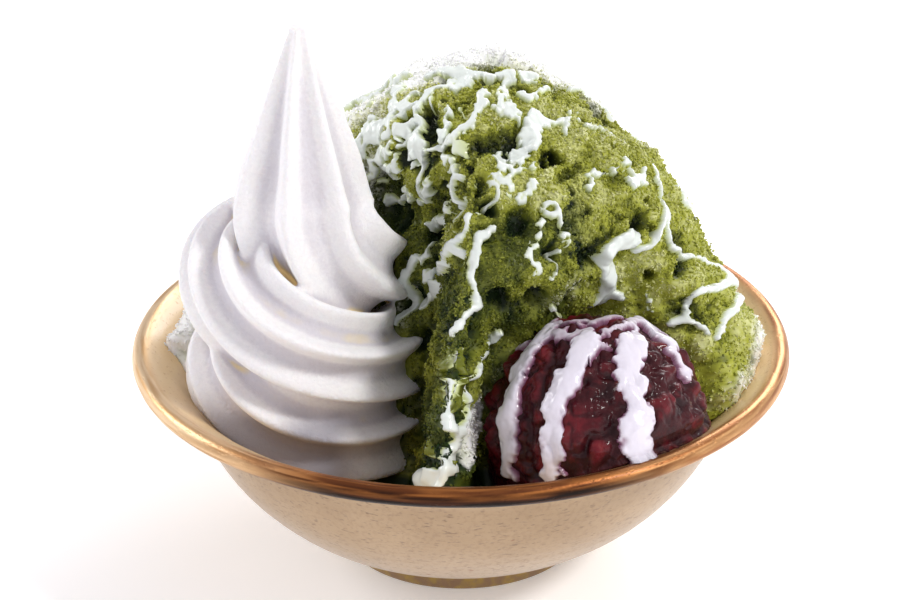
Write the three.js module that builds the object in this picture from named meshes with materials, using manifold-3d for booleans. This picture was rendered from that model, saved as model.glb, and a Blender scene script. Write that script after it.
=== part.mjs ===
// Kakigori: a stoneware bowl heaped with shaved ice under green tea syrup, with a swirl of
// soft serve, a scoop of sweet red beans and thick condensed milk over the ice and the beans.
//
// Millimetres, +Z up. The origin is the centre of the foot's underside and Z is the bowl's
// axis. The soft serve and the beans stand on the -Y side, which is the front, and +X is right.

import * as THREE from "three";
import * as BufferGeometryUtils from "three/addons/utils/BufferGeometryUtils.js";
import Module from "manifold-3d";

const wasm = await Module();
wasm.setup();

// ---------- Driving dimensions ----------

const GAP = 0.35; // clearance kept between pieces that rest on each other
const TURN = 2 * Math.PI;

const bowl = {
  rimRadius: 88, // outside of the rolled lip
  rimHeight: 58.1, // centre of the lip above the table
  lipRadius: 2.5,
  wall: 4.3,
  footRadius: 34,
  footHeight: 6,
  footWidth: 4.5,
  footRecess: 4.2, // how far the underside stands back inside the foot
  floorHeight: 9.1, // inside, at the axis
  facets: 48,
};
const RIM = bowl.rimHeight;

// The rope of soft serve. Places along it are counted in turns of the coil from its start.
const swirl = {
  axis: new THREE.Vector2(-40, -20.1), // where it stands in the bowl
  turns: 2.886,
  pitch: 26.1,
  startHeight: RIM - 23.2, // centre of the rope where it starts
  restHeight: RIM - 4, // below this the first turn spreads flat on the ice
  coilRadius: 14.5, // of the rope's centre line
  closing: [1.98, 2.65], // the coil closes in on its axis between these turns
  lean: new THREE.Vector2(-6.6, -1.7), // the turns stand higher on the left and the front
  levelling: [2.1, 2.6], // the lean fades between these turns
  peakFrom: 2.34, // from here on the rope is pulled up
  peakLift: 42.9,
  peakPower: 1.87,
  tipShift: 1.2, // the tip leans to the right
  ropeRadius: 17.6, // to the crest of a ridge
  shoulder: 2, // how much thicker the last turn is
  thickening: [2.14, 2.73],
  taperFrom: 2.49,
  taper: 0.87, // of the rope's radius, at the tip
  taperPower: 1.46,
  ridges: 7,
  ridgeDepth: 0.25, // of the rope's radius
  ridgeSharpness: 1.7,
  ridgeStart: -0.341, // where the first ridge starts round the rope
  twist: 0.613, // how often the ridges wind round the rope in each turn of the coil
  uprightFrom: 2.273, // from here on the ridges wind with the coil and are upright
  uprightTwist: 0.935,
  uneven: [
    { strength: 0.789, waves: 1, from: 0.306 }, // they wind slower at the front of each turn
    { strength: 0.125, waves: 2, from: 0.47 },
  ],
  evenFrom: [1.9, 2.35],
  crowding: 0.31, // how much closer the ridges stand on the outside of the coil
  crowdedAt: 0.937,
  base: RIM - 20, // flat underside, in the ice
  columnBearing: THREE.MathUtils.degToRad(-82), // of one upright ridge of the peak
  ridgeSlope: 2.6, // degrees that a ridge runs round the coil for each millimetre down
  slopeBelow: RIM + 50,
  columnsPerRidge: 6,
  rows: 33,
};

const mound = {
  footRadius: 79.5,
  footHeight: RIM - 3,
  topHeight: RIM + 77.5,
  fullness: 0.515, // exponent of the profile: smaller is rounder
  peakShift: new THREE.Vector2(7.5, 10), // the top leans to the back and the right
  clumpSize: 11,
  clumpDepth: 2.6,
  crumbSize: 4.6,
  crumbDepth: 1.2,
  columns: 48,
  rows: 18,
  skirtRadius: 87, // beyond the bowl's wall, which trims it
  skirtDrop: 3,
  floor: -5,
};

// Where the soft serve and the beans stand, the mound's foot is lower and its side stands back.
// opens and closes are bearings in degrees; fades are shares of the way from foot to top.
const bays = [
  { opens: [180, 205], closes: [250, 267], lower: 18, narrower: 0.5, fades: [0.6, 0.92] },
  { opens: [265, 276], closes: [316, 334], lower: 10, narrower: 0.38, fades: [0.3, 0.62] },
];

const scoop = {
  centre: new THREE.Vector3(34.2, -46, RIM - 7),
  radius: new THREE.Vector3(28.5, 29.5, 32.5),
  base: RIM - 14, // flat underside, in the ice
  beanSize: new THREE.Vector3(9.4, 6.6, 6.4),
  beanCount: 96, // all round, of which the free ones show
  beanSink: 1.4,
  lowestBean: -0.12, // height over the scoop's middle, as a share of its height
  columns: 24,
  rows: 12,
};

// Condensed milk. On the ice a route is a list of stations [bearing in degrees, share of the
// way from foot to top]; on the beans it is [share of the half width to the right, degrees
// forward from the top].
const milk = {
  sides: 6,
  step: 4.6, // between rings of a strand
  flatness: 0.8, // height of a strand's section over its width
  unevenness: 0.2, // of the width
  iceWidth: 5.2,
  iceRoutes: [
    [[-39, 0.58], [-48, 0.55], [-45, 0.49], [-44, 0.39]],
    [[-7, 0.65], [-20, 0.58], [-33, 0.53], [-38, 0.54]],
    [[-20, 0.58], [-28, 0.48], [-14, 0.39], [-14, 0.29], [-31, 0.28]],
    [[4, 0.16], [-4, 0.21], [-22, 0.22], [-27, 0.21]],
    [[-84, 0.82], [-80, 0.74], [-73, 0.75]],
    [[-87, 0.67], [-91, 0.57], [-90, 0.47], [-95, 0.4]],
    [[-84, 0.35], [-90, 0.26]],
    [[-94, 0.27], [-94, 0.17], [-92, 0.1], [-97, 0.03]],
    [[-140, 0.9], [-132, 0.86], [-151, 0.78]],
    [[-116, 0.92], [-116, 0.86], [-130, 0.77]],
    [[-91, 0.95], [-108, 0.83], [-101, 0.77], [-106, 0.66], [-120, 0.61]],
    [[-24, 0.87], [-53, 0.89], [-67, 0.86], [-80, 0.82]],
    [[-26, 0.71], [-42, 0.75], [-50, 0.73]],
    [[-70, 0.7], [-66, 0.68], [-64, 0.64]],
    [[-64, 0.62], [-68, 0.56]],
    [[-74, 0.66], [-74, 0.57]],
    [[-94, 0.68], [-100, 0.57], [-116, 0.48], [-118, 0.42]],
    [[-167, 0.9], [-156, 0.87], [-166, 0.8]],
    [[-116, 0.76], [-128, 0.66]],
  ],
  pool: [-96, 0.05],
  poolSize: new THREE.Vector3(7, 4.5, 2.8),
  beanWidths: [5.6, 6.4, 7.2, 6.4],
  beanRoutes: [
    [[-0.46, -2], [-0.73, 36], [-0.87, 88]],
    [[-0.1, 6], [-0.24, 30], [-0.42, 58], [-0.43, 85]],
    [[0.33, 6], [0.18, 28], [0.28, 60], [0.35, 72]],
    [[0.42, 3], [0.59, 8], [0.73, 22]],
  ],
};

// ---------- Closed surfaces and solids ----------

// A closed skin with a pole at each end: point(u, v) runs u once round and v from pole to pole.
function closedSurface(columns, rows, point) {
  const positions = [...point(0, 0).toArray()];
  for (let row = 1; row < rows; row++) {
    for (let column = 0; column < columns; column++) {
      positions.push(...point(column / columns, row / rows).toArray());
    }
  }
  positions.push(...point(0, 1).toArray());
  const last = (rows - 1) * columns + 1;
  const at = (row, column) => 1 + (row - 1) * columns + (column % columns);
  const index = [];
  for (let column = 0; column < columns; column++) {
    index.push(0, at(1, column + 1), at(1, column));
    for (let row = 1; row < rows - 1; row++) {
      const corners = [at(row, column), at(row, column + 1), at(row + 1, column + 1), at(row + 1, column)];
      index.push(corners[0], corners[1], corners[2], corners[0], corners[2], corners[3]);
    }
    index.push(last, at(rows - 1, column), at(rows - 1, column + 1));
  }
  const geometry = new THREE.BufferGeometry();
  geometry.setAttribute("position", new THREE.Float32BufferAttribute(positions, 3));
  geometry.setIndex(index);
  return geometry;
}

function signedVolume(positions, index) {
  const [a, b, c] = [new THREE.Vector3(), new THREE.Vector3(), new THREE.Vector3()];
  let volume = 0;
  for (let i = 0; i < index.length; i += 3) {
    a.fromArray(positions, 3 * index[i]);
    b.fromArray(positions, 3 * index[i + 1]);
    c.fromArray(positions, 3 * index[i + 2]);
    volume += a.dot(b.cross(c)) / 6;
  }
  return volume;
}

// Shared corners are merged, triangles without area dropped, and the faces turned outwards.
function toSolid(geometry) {
  const bare = geometry.clone();
  bare.deleteAttribute("normal");
  bare.deleteAttribute("uv");
  const merged = BufferGeometryUtils.mergeVertices(bare, 1e-4);
  const corners = merged.index.array;
  const triangles = [];
  for (let i = 0; i < corners.length; i += 3) {
    const [a, b, c] = [corners[i], corners[i + 1], corners[i + 2]];
    if (a !== b && b !== c && c !== a) triangles.push(a, b, c);
  }
  const vertices = merged.attributes.position.array;
  if (signedVolume(vertices, triangles) < 0) triangles.reverse();
  return new wasm.Manifold(
    new wasm.Mesh({
      numProp: 3,
      vertProperties: Float32Array.from(vertices),
      triVerts: Uint32Array.from(triangles),
    }),
  );
}

// The largest closed shell of a solid: loose scraps and sealed hollows are left out.
function toGeometry(solid) {
  const { vertProperties, triVerts } = solid.getMesh();
  const owner = Array.from({ length: vertProperties.length / 3 }, (_, i) => i);
  const find = (i) => {
    while (owner[i] !== i) i = owner[i] = owner[owner[i]];
    return i;
  };
  for (let i = 0; i < triVerts.length; i += 3) {
    owner[find(triVerts[i + 1])] = find(triVerts[i]);
    owner[find(triVerts[i + 2])] = find(triVerts[i]);
  }
  const shells = new Map();
  for (let i = 0; i < triVerts.length; i += 3) {
    const shell = find(triVerts[i]);
    if (!shells.has(shell)) shells.set(shell, []);
    shells.get(shell).push(triVerts[i], triVerts[i + 1], triVerts[i + 2]);
  }
  const bySize = [...shells.values()].sort((a, b) => b.length - a.length);
  const geometry = new THREE.BufferGeometry();
  geometry.setAttribute("position", new THREE.Float32BufferAttribute(vertProperties, 3));
  geometry.setIndex(bySize[0]);
  geometry.computeVertexNormals();
  return geometry;
}

// Smooth noise from -1 to 1: a value at each whole-number corner, eased between them.
function noise(x, y, z) {
  const corner = (i, j, k) => {
    const value = Math.sin(i * 127.1 + j * 311.7 + k * 74.7) * 43758.5453;
    return value - Math.floor(value);
  };
  const [i, j, k] = [Math.floor(x), Math.floor(y), Math.floor(z)];
  const ease = (t) => t * t * (3 - 2 * t);
  const [u, v, w] = [ease(x - i), ease(y - j), ease(z - k)];
  const along = (b, c) => THREE.MathUtils.lerp(corner(i, j + b, k + c), corner(i + 1, j + b, k + c), u);
  const across = (c) => THREE.MathUtils.lerp(along(0, c), along(1, c), v);
  return 2 * THREE.MathUtils.lerp(across(0), across(1), w) - 1;
}

const smoothstep = THREE.MathUtils.smoothstep; // smoothstep(x, from, to)

// ---------- Bowl ----------

// The body's outer curve, from the foot up to where the lip turns out.
function bodyCurve() {
  const foot = new THREE.Vector2(bowl.footRadius + 1.4, bowl.footHeight);
  const top = new THREE.Vector2(bowl.rimRadius - 12.9, RIM - 6);
  const lowerHandle = foot.clone().add(new THREE.Vector2(20.9, 7.8));
  const upperHandle = top.clone().sub(new THREE.Vector2(4.6, 21.7));
  return new THREE.CubicBezierCurve(foot, lowerHandle, upperHandle, top);
}

// Inside line from the lip to the floor at the axis: the body curve moved in by the wall.
function innerProfile() {
  const curve = bodyCurve();
  const flare = [
    [-5.6, 0.9],
    [-8, -0.7],
    [-11, -3],
    [-14.2, -6.3],
  ].map(([out, up]) => new THREE.Vector2(bowl.rimRadius + out, RIM + up));
  const wallSteps = [0.84, 0.66, 0.48, 0.24, 0];
  const wall = wallSteps.map((t) => {
    const tangent = curve.getTangent(t);
    const inward = new THREE.Vector2(-tangent.y, tangent.x);
    return curve.getPoint(t).addScaledVector(inward, bowl.wall);
  });
  return [...flare, ...wall, new THREE.Vector2(0, bowl.floorHeight)];
}

function lathe(profile) {
  return new THREE.LatheGeometry(profile, bowl.facets).rotateX(Math.PI / 2);
}

function bowlSolid() {
  const { footRadius, footHeight, footWidth, footRecess, rimRadius, lipRadius } = bowl;
  const footInside = footRadius - footWidth;
  const foot = [
    [0, footRecess],
    [footInside - 1, footRecess],
    [footInside, 0.6],
    [footInside + 0.6, 0],
    [footRadius - 0.6, 0],
    [footRadius, 0.6],
    [footRadius, footHeight - 1],
  ].map(([r, z]) => new THREE.Vector2(r, z));
  const curve = bodyCurve();
  const body = [0, 0.18, 0.36, 0.54, 0.74, 0.92].map((t) => curve.getPoint(t));
  const flareUnderside = [new THREE.Vector2(rimRadius - 9, RIM - 5.6)];
  const bead = [-90, -40, 10, 60, 110].map((degrees) => {
    const angle = THREE.MathUtils.degToRad(degrees);
    const centre = new THREE.Vector2(rimRadius - lipRadius, RIM);
    return centre.add(new THREE.Vector2(Math.cos(angle), Math.sin(angle)).multiplyScalar(lipRadius));
  });
  return toSolid(lathe([...foot, ...body, ...flareUnderside, ...bead, ...innerProfile()]));
}

// The room inside the bowl that food may fill: the inside line moved in by the gap, and
// straight up from the lip.
function cavitySolid() {
  const line = innerProfile();
  const moved = line.slice(0, -1).map((point, i) => {
    const before = line[Math.max(i - 1, 0)];
    const after = line[i + 1];
    const along = after.clone().sub(before).normalize();
    return point.clone().addScaledVector(new THREE.Vector2(along.y, -along.x), GAP);
  });
  const skyHeight = RIM + 110;
  const profile = [
    new THREE.Vector2(0, skyHeight),
    new THREE.Vector2(moved[0].x, skyHeight),
    ...moved,
    new THREE.Vector2(0, bowl.floorHeight + GAP),
  ];
  return toSolid(lathe(profile));
}

// ---------- Soft serve ----------

function coilBearing(turns) {
  return Math.PI / 2 - TURN * turns; // it winds clockwise as seen from above
}

// Centre of the rope after so many turns: a coil that leans, and in the last half turn closes
// in on the axis and is pulled straight up.
function ropeCentre(turns) {
  const bearing = coilBearing(turns);
  const radius = swirl.coilRadius * (1 - smoothstep(turns, ...swirl.closing));
  const rising = swirl.startHeight + swirl.pitch * turns;
  const resting = swirl.restHeight - 0.25 * (swirl.restHeight - rising);
  const leaning = swirl.lean.x * Math.cos(bearing) + swirl.lean.y * Math.sin(bearing);
  const peak = Math.max(turns - swirl.peakFrom, 0) / (swirl.turns - swirl.peakFrom);
  const lifting = swirl.peakLift * peak ** swirl.peakPower;
  return new THREE.Vector3(
    radius * Math.cos(bearing) + swirl.tipShift * peak ** 2,
    radius * Math.sin(bearing),
    Math.max(rising, resting) + leaning * (1 - smoothstep(turns, ...swirl.levelling)) + lifting,
  );
}

// The rope thickens into the shoulder of the last turn and runs out to a blunt tip.
function ropeRadius(turns) {
  const full = swirl.ropeRadius + swirl.shoulder * smoothstep(turns, ...swirl.thickening);
  const peak = Math.max(turns - swirl.taperFrom, 0) / (swirl.turns - swirl.taperFrom);
  return full * (1 - swirl.taper * peak ** swirl.taperPower);
}

// Where the first ridge stands round the rope. The nozzle doesn't turn, so the ridges wind by
// fits and starts as the rope is laid down, and stand upright in the peak.
function ridgeAngle(turns) {
  const upright = Math.max(turns - swirl.uprightFrom, 0);
  const wound = TURN * (swirl.twist * Math.min(turns, swirl.uprightFrom) + swirl.uprightTwist * upright);
  const uneven = swirl.uneven.reduce(
    (sum, { strength, waves, from }) => sum + strength * Math.sin(TURN * waves * (turns - from)),
    0,
  );
  return swirl.ridgeStart + wound - uneven * (1 - smoothstep(turns, ...swirl.evenFrom));
}

// A point of the rope's skin.
function ropeSkin(turns, around) {
  const step = 1e-3;
  const bearing = coilBearing(turns);
  const centre = ropeCentre(turns);
  const forward = ropeCentre(turns + step).sub(ropeCentre(turns - step)).normalize();
  const outward = new THREE.Vector3(Math.cos(bearing), Math.sin(bearing), 0);
  outward.addScaledVector(forward, -outward.dot(forward)).normalize();
  const upward = new THREE.Vector3().crossVectors(forward, outward);
  const psi = TURN * around;
  const crowding = swirl.crowding * (1 - smoothstep(turns, 2, 2.4)) * Math.sin(psi - swirl.crowdedAt);
  const phase = swirl.ridges * (psi + crowding - ridgeAngle(turns));
  const crest = (0.5 + 0.5 * Math.cos(phase)) ** swirl.ridgeSharpness;
  const reach = ropeRadius(turns) * (1 - swirl.ridgeDepth * (1 - crest));
  return centre.addScaledVector(outward, reach * Math.cos(psi)).addScaledVector(upward, reach * Math.sin(psi));
}

// Bearing of a column of the skin at a height: the columns follow the ridges.
function columnBearing(share, height) {
  const run = swirl.ridgeSlope * Math.max(swirl.slopeBelow - height, 0);
  return swirl.columnBearing + TURN * share + THREE.MathUtils.degToRad(run);
}

// The skin seen from the axis: the farthest rope surface at each height and bearing, so the
// turns are fused into one solid.
const swirlSkin = (() => {
  const rope = closedSurface(42, 150, (u, v) => {
    const onEnd = v === 0 || v === 1;
    return onEnd ? ropeCentre(v * swirl.turns) : ropeSkin(v * swirl.turns, u);
  });
  const target = new THREE.Mesh(rope, new THREE.MeshBasicMaterial({ side: THREE.DoubleSide }));
  const caster = new THREE.Raycaster();
  const columns = swirl.ridges * swirl.columnsPerRidge;
  const top = ropeCentre(swirl.turns).z;
  const table = [];
  for (let row = 1; row < swirl.rows; row++) {
    const height = THREE.MathUtils.lerp(swirl.base, top, (row - 1) / (swirl.rows - 1.4));
    const reaches = [];
    for (let column = 0; column < columns; column++) {
      const bearing = columnBearing(column / columns, height);
      caster.set(new THREE.Vector3(0, 0, height), new THREE.Vector3(Math.cos(bearing), Math.sin(bearing), 0));
      reaches.push(caster.intersectObject(target).at(-1)?.distance ?? 0);
    }
    table.push({ height, reaches });
  }
  return { table, top, columns };
})();

function swirlSolid() {
  const { table, top, columns } = swirlSkin;
  const { axis, base, rows } = swirl;
  const surface = closedSurface(columns, rows, (u, v) => {
    const row = Math.round(v * rows);
    if (row === 0) return new THREE.Vector3(axis.x, axis.y, base);
    if (row === rows) return new THREE.Vector3(axis.x, axis.y, top);
    const { height, reaches } = table[row - 1];
    const reach = reaches[Math.round(u * columns)];
    const bearing = columnBearing(u, height);
    return new THREE.Vector3(axis.x + reach * Math.cos(bearing), axis.y + reach * Math.sin(bearing), height);
  });
  return toSolid(surface);
}

// A plain sleeve round the swirl, which the ice keeps clear of: at every other row it reaches
// as far as the skin does nearby.
function swirlSleeve() {
  const { table, top, columns } = swirlSkin;
  const { axis, base, columnsPerRidge } = swirl;
  const sides = columns / 2;
  const rowStep = 2;
  const sleeveRows = Math.ceil(table.length / rowStep) + 1;
  const farthest = (row, column) => {
    let reach = 0;
    for (let i = Math.max(row - rowStep, 0); i <= Math.min(row + rowStep, table.length - 1); i++) {
      for (let j = column - columnsPerRidge / 2; j <= column + columnsPerRidge / 2; j++) {
        reach = Math.max(reach, table[i].reaches[(j + columns) % columns]);
      }
    }
    return reach;
  };
  const widening = 1 / Math.cos(Math.PI / sides); // the flats between corners stay clear too
  const surface = closedSurface(sides, sleeveRows, (u, v) => {
    const step = Math.round(v * sleeveRows);
    if (step === 0) return new THREE.Vector3(axis.x, axis.y, base - GAP);
    if (step === sleeveRows) return new THREE.Vector3(axis.x, axis.y, top + 1);
    const row = Math.min((step - 1) * rowStep, table.length - 1);
    const height = step === 1 ? base - GAP : table[row].height;
    const reach = (farthest(row, Math.round(u * columns)) + GAP) * widening;
    const bearing = columnBearing(u, table[row].height);
    return new THREE.Vector3(axis.x + reach * Math.cos(bearing), axis.y + reach * Math.sin(bearing), height);
  });
  return toSolid(surface);
}

// ---------- Shaved ice ----------

// The mound's smooth form: bearing round the bowl, and share of the way from foot to top.
function moundForm(bearing, share) {
  const degrees = THREE.MathUtils.euclideanModulo(THREE.MathUtils.radToDeg(bearing), 360);
  let radius = mound.footRadius * (1 - share) ** mound.fullness;
  let foot = mound.footHeight;
  for (const { opens, closes, lower, narrower, fades } of bays) {
    const inBay = smoothstep(degrees, ...opens) * (1 - smoothstep(degrees, ...closes));
    radius *= 1 - narrower * inBay * (1 - smoothstep(share, ...fades));
    foot -= lower * inBay;
  }
  return new THREE.Vector3(
    mound.peakShift.x * share + radius * Math.cos(bearing),
    mound.peakShift.y * share + radius * Math.sin(bearing),
    THREE.MathUtils.lerp(foot, mound.topHeight, share),
  );
}

function moundOutward(bearing, share) {
  const step = 1e-3;
  const across = moundForm(bearing + step, share).sub(moundForm(bearing - step, share));
  const up = moundForm(bearing, Math.min(share + step, 1)).sub(moundForm(bearing, Math.max(share - step, 0)));
  return across.cross(up).normalize();
}

// Crumbling clumps of ice stand out from the form; the foot stays nearly smooth.
function moundPoint(bearing, share) {
  const point = moundForm(bearing, share);
  const outward = share < 1 ? moundOutward(bearing, share) : new THREE.Vector3(0, 0, 1);
  const at = (size) => noise(point.x / size, point.y / size, point.z / size);
  const relief = mound.clumpDepth * at(mound.clumpSize) + mound.crumbDepth * at(mound.crumbSize);
  return point.addScaledVector(outward, relief * smoothstep(share, -0.02, 0.06));
}

function moundSolid() {
  const { columns, rows, skirtRadius, skirtDrop, floor } = mound;
  const skirtRows = 3;
  const allRows = rows + skirtRows;
  const surface = closedSurface(columns, allRows, (u, v) => {
    const row = Math.round(v * allRows);
    const bearing = TURN * u;
    if (row === 0) return new THREE.Vector3(0, 0, floor);
    if (row >= skirtRows) return moundPoint(bearing, 1 - (1 - (row - skirtRows) / rows) ** 1.5);
    const height = row === 1 ? floor : moundForm(bearing, 0).z - skirtDrop;
    return new THREE.Vector3(skirtRadius * Math.cos(bearing), skirtRadius * Math.sin(bearing), height);
  });
  return toSolid(surface);
}

// ---------- Condensed milk ----------

// A strand of thick milk, half sunk in what it lies on, with round ends and an uneven width.
// surface(a, b) is the point of a station [a, b], and core a point well inside the surface.
function strand(route, width, surface, core) {
  const path = new THREE.CatmullRomCurve3(
    route.map(([a, b]) => new THREE.Vector3(a, b, 0)),
    false,
    "catmullrom",
  );
  const at = (t) => {
    const station = path.getPoint(t);
    return surface(station.x, station.y);
  };
  const samples = Array.from({ length: 25 }, (_, i) => at(i / 24));
  const length = samples.slice(1).reduce((sum, point, i) => sum + point.distanceTo(samples[i]), 0);
  const rows = Math.max(3, Math.round(length / milk.step));
  const skin = closedSurface(milk.sides, rows, (u, v) => {
    const centre = at(v);
    if (v === 0 || v === 1) return centre;
    const step = 0.02;
    const tangent = at(Math.min(v + step, 1)).sub(at(Math.max(v - step, 0))).normalize();
    const outward = centre.clone().sub(core);
    outward.addScaledVector(tangent, -outward.dot(tangent)).normalize();
    const sideways = new THREE.Vector3().crossVectors(tangent, outward);
    const toEnd = Math.min((Math.min(v, 1 - v) * length) / (width / 2), 1);
    const uneven = 1 + milk.unevenness * noise(centre.x / 7, centre.y / 7, centre.z / 7);
    const half = (width / 2) * uneven * Math.sqrt(1 - (1 - toEnd) ** 2);
    centre.addScaledVector(sideways, half * Math.cos(TURN * u));
    return centre.addScaledVector(outward, milk.flatness * half * Math.sin(TURN * u));
  });
  return toSolid(skin);
}

function milkOnIce() {
  const surface = (degrees, share) => moundPoint(THREE.MathUtils.degToRad(degrees), share);
  const core = new THREE.Vector3(0, 0, RIM);
  const strands = milk.iceRoutes.map((route) => strand(route, milk.iceWidth, surface, core));
  const pool = new THREE.IcosahedronGeometry(1, 1).scale(...milk.poolSize.toArray());
  pool.translate(...surface(...milk.pool).toArray());
  return strands.reduce((whole, next) => whole.add(next), toSolid(pool));
}

// grow adds a clearance all round.
function milkOnBeans(grow) {
  const strands = milk.beanRoutes.map((route, i) =>
    strand(route, milk.beanWidths[i] + 2 * grow, scoopForm, scoop.centre),
  );
  return strands.reduce((whole, next) => whole.add(next));
}

// ---------- Sweet red beans ----------

// A point of the scoop's form: side from -1, left, to 1, right, and forward degrees from the top.
function scoopForm(side, forward) {
  const angle = THREE.MathUtils.degToRad(forward);
  const rest = Math.sqrt(1 - side * side);
  const direction = new THREE.Vector3(side, -Math.sin(angle) * rest, Math.cos(angle) * rest);
  return direction.multiply(scoop.radius).add(scoop.centre);
}

// A dome of paste with a flat underside. grow adds a clearance all round.
function pasteDome(grow) {
  const { centre, radius, base, columns, rows } = scoop;
  const skin = closedSurface(columns, rows, (u, v) => {
    const polar = Math.PI * v;
    const around = TURN * u;
    const direction = new THREE.Vector3(
      Math.sin(polar) * Math.cos(around),
      Math.sin(polar) * Math.sin(around),
      -Math.cos(polar),
    );
    const point = direction.multiply(radius.clone().addScalar(grow)).add(centre);
    point.z = Math.max(point.z, base - grow);
    return point;
  });
  return toSolid(skin);
}

// Beans spread evenly over the dome, each turned its own way and partly sunk in the paste.
function beans(grow) {
  const { centre, radius, beanSize, beanCount, beanSink, lowestBean } = scoop;
  const up = new THREE.Vector3(0, 0, 1);
  const half = beanSize.clone().multiplyScalar(0.5).addScalar(grow);
  const goldenTurn = Math.PI * (3 - Math.sqrt(5));
  const all = [];
  for (let i = 0; i < beanCount; i++) {
    const rise = 1 - (2 * (i + 0.5)) / beanCount;
    if (rise < lowestBean) break;
    const around = i * goldenTurn + 0.3 * noise(i, 0.5, 0.5);
    const out = Math.sqrt(1 - rise * rise);
    const direction = new THREE.Vector3(out * Math.cos(around), out * Math.sin(around), rise);
    const place = direction.clone().multiply(radius).add(centre).addScaledVector(direction, -beanSink);
    const lying = new THREE.Quaternion().setFromUnitVectors(up, direction);
    const turned = new THREE.Quaternion().setFromAxisAngle(up, 2.4 * i);
    const bean = new THREE.IcosahedronGeometry(1, 0).scale(...half.toArray());
    all.push(toSolid(bean.applyQuaternion(lying.multiply(turned)).translate(...place.toArray())));
  }
  return all;
}

// The paste, the beans that lie free of the ice, and the milk that runs over them.
function scoopSolid(ice) {
  const free = beans(GAP).map((bean) => bean.intersect(ice).isEmpty());
  const showing = beans(0).filter((_, i) => free[i]);
  return showing.reduce((whole, bean) => whole.add(bean), pasteDome(0).add(milkOnBeans(0)));
}

// ---------- The whole ----------

const cavity = cavitySolid();
const kept = swirlSleeve().add(pasteDome(GAP)).add(milkOnBeans(GAP));
const ice = moundSolid().add(milkOnIce()).intersect(cavity).subtract(kept);

const pieces = [
  ["bowl", bowlSolid(), { color: 0xc9a57f, roughness: 0.35, metalness: 0 }],
  ["shaved_ice", ice, { color: 0x8f9c3c, roughness: 0.7, metalness: 0 }],
  ["soft_serve", swirlSolid().intersect(cavity), { color: 0xf2eff4, roughness: 0.5, metalness: 0 }],
  ["bean_paste", scoopSolid(ice).intersect(cavity), { color: 0x5a1c26, roughness: 0.25, metalness: 0 }],
];

const kakigori = new THREE.Group();
for (const [name, solid, finish] of pieces) {
  const mesh = new THREE.Mesh(toGeometry(solid), new THREE.MeshStandardMaterial(finish));
  mesh.name = name;
  kakigori.add(mesh);
}

export default kakigori;
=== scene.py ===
# %% [markdown]
# # Kakigori
# A footed stoneware bowl heaped with shaved ice under green tea syrup. A swirl of vanilla soft
# serve and a scoop of sweet red bean paste stand in it at the front, and thick condensed milk
# runs over the ice and the beans. The solid model gives every piece its place and size. This
# script keeps those forms and gives each piece the fine surface and the finish of the real thing.

# %% The fixed frame
import math

import bpy
import numpy as np
from mathutils import Matrix, Vector


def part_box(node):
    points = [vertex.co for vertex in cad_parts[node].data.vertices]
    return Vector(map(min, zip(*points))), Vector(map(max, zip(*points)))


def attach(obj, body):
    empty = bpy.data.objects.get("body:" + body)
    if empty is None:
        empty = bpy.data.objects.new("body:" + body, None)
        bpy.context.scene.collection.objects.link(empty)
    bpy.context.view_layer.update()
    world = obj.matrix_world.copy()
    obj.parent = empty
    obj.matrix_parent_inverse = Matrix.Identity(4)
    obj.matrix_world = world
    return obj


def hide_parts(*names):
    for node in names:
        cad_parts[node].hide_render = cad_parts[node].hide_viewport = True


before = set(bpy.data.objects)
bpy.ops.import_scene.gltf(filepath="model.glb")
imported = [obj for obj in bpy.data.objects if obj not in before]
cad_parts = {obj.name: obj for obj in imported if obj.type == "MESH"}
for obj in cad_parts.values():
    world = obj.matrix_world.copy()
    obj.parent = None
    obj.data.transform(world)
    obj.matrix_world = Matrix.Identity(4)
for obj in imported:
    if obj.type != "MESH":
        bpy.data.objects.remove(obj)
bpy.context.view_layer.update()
MM = 0.001
RIM = 58.1  # mm: centre of the bowl's lip above the table
print("nodes:", sorted(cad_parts))

# %% [markdown]
# ## Camera
# A long lens from 0.6 m looks down at 25 degrees, as one looks at a dessert on a table. The
# camera is turned towards its aim by building its axes, and rolled by half a degree.

# %% Camera
CAMERA_AIM = Vector((-0.00274, 0.0, 0.0693))
CAMERA_DISTANCE = 0.6
CAMERA_ELEVATION = math.radians(25.13)
CAMERA_ROLL = math.radians(-0.45)


def placed(place, away):
    """A matrix that puts a camera or light at a place, with its back turned along away."""
    return Matrix.Translation(place) @ away.to_track_quat("Z", "Y").to_matrix().to_4x4()


camera_data = bpy.data.cameras.new("camera")
camera_data.lens = 90
camera_data.sensor_width = 36
camera = bpy.data.objects.new("camera", camera_data)
bpy.context.scene.collection.objects.link(camera)
bpy.context.scene.camera = camera
toward_camera = Vector((0, -math.cos(CAMERA_ELEVATION), math.sin(CAMERA_ELEVATION)))
camera_turn = placed(CAMERA_AIM + CAMERA_DISTANCE * toward_camera, toward_camera)
camera.matrix_world = camera_turn @ Matrix.Rotation(CAMERA_ROLL, 4, "Z")
print("camera at", [round(x, 3) for x in camera.matrix_world.translation])

# %% [markdown]
# ## Light and floor
# Food is shot in soft light that comes from one side, so that crumbs and ridges throw small
# shadows. A broad sun at the upper right is the main light, a weaker and softer one fills the
# left, and a small lamp behind the bowl edges the crests. The sky is pale with a little violet
# in it, which is the colour that the shadows take.

# %% Light and floor
scene = bpy.context.scene
scene.view_settings.view_transform = "Standard"
scene.view_settings.look = "None"


def add_light(name, kind, place, aim, power, **settings):
    """A light of one kind, AREA or SUN, at a place in metres, turned to shine at aim."""
    data = bpy.data.lights.new(name, kind)
    data.energy = power
    for key, value in settings.items():
        setattr(data, key, value)
    light = bpy.data.objects.new(name, data)
    scene.collection.objects.link(light)
    light.matrix_world = placed(place, Vector(place) - Vector(aim))


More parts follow.
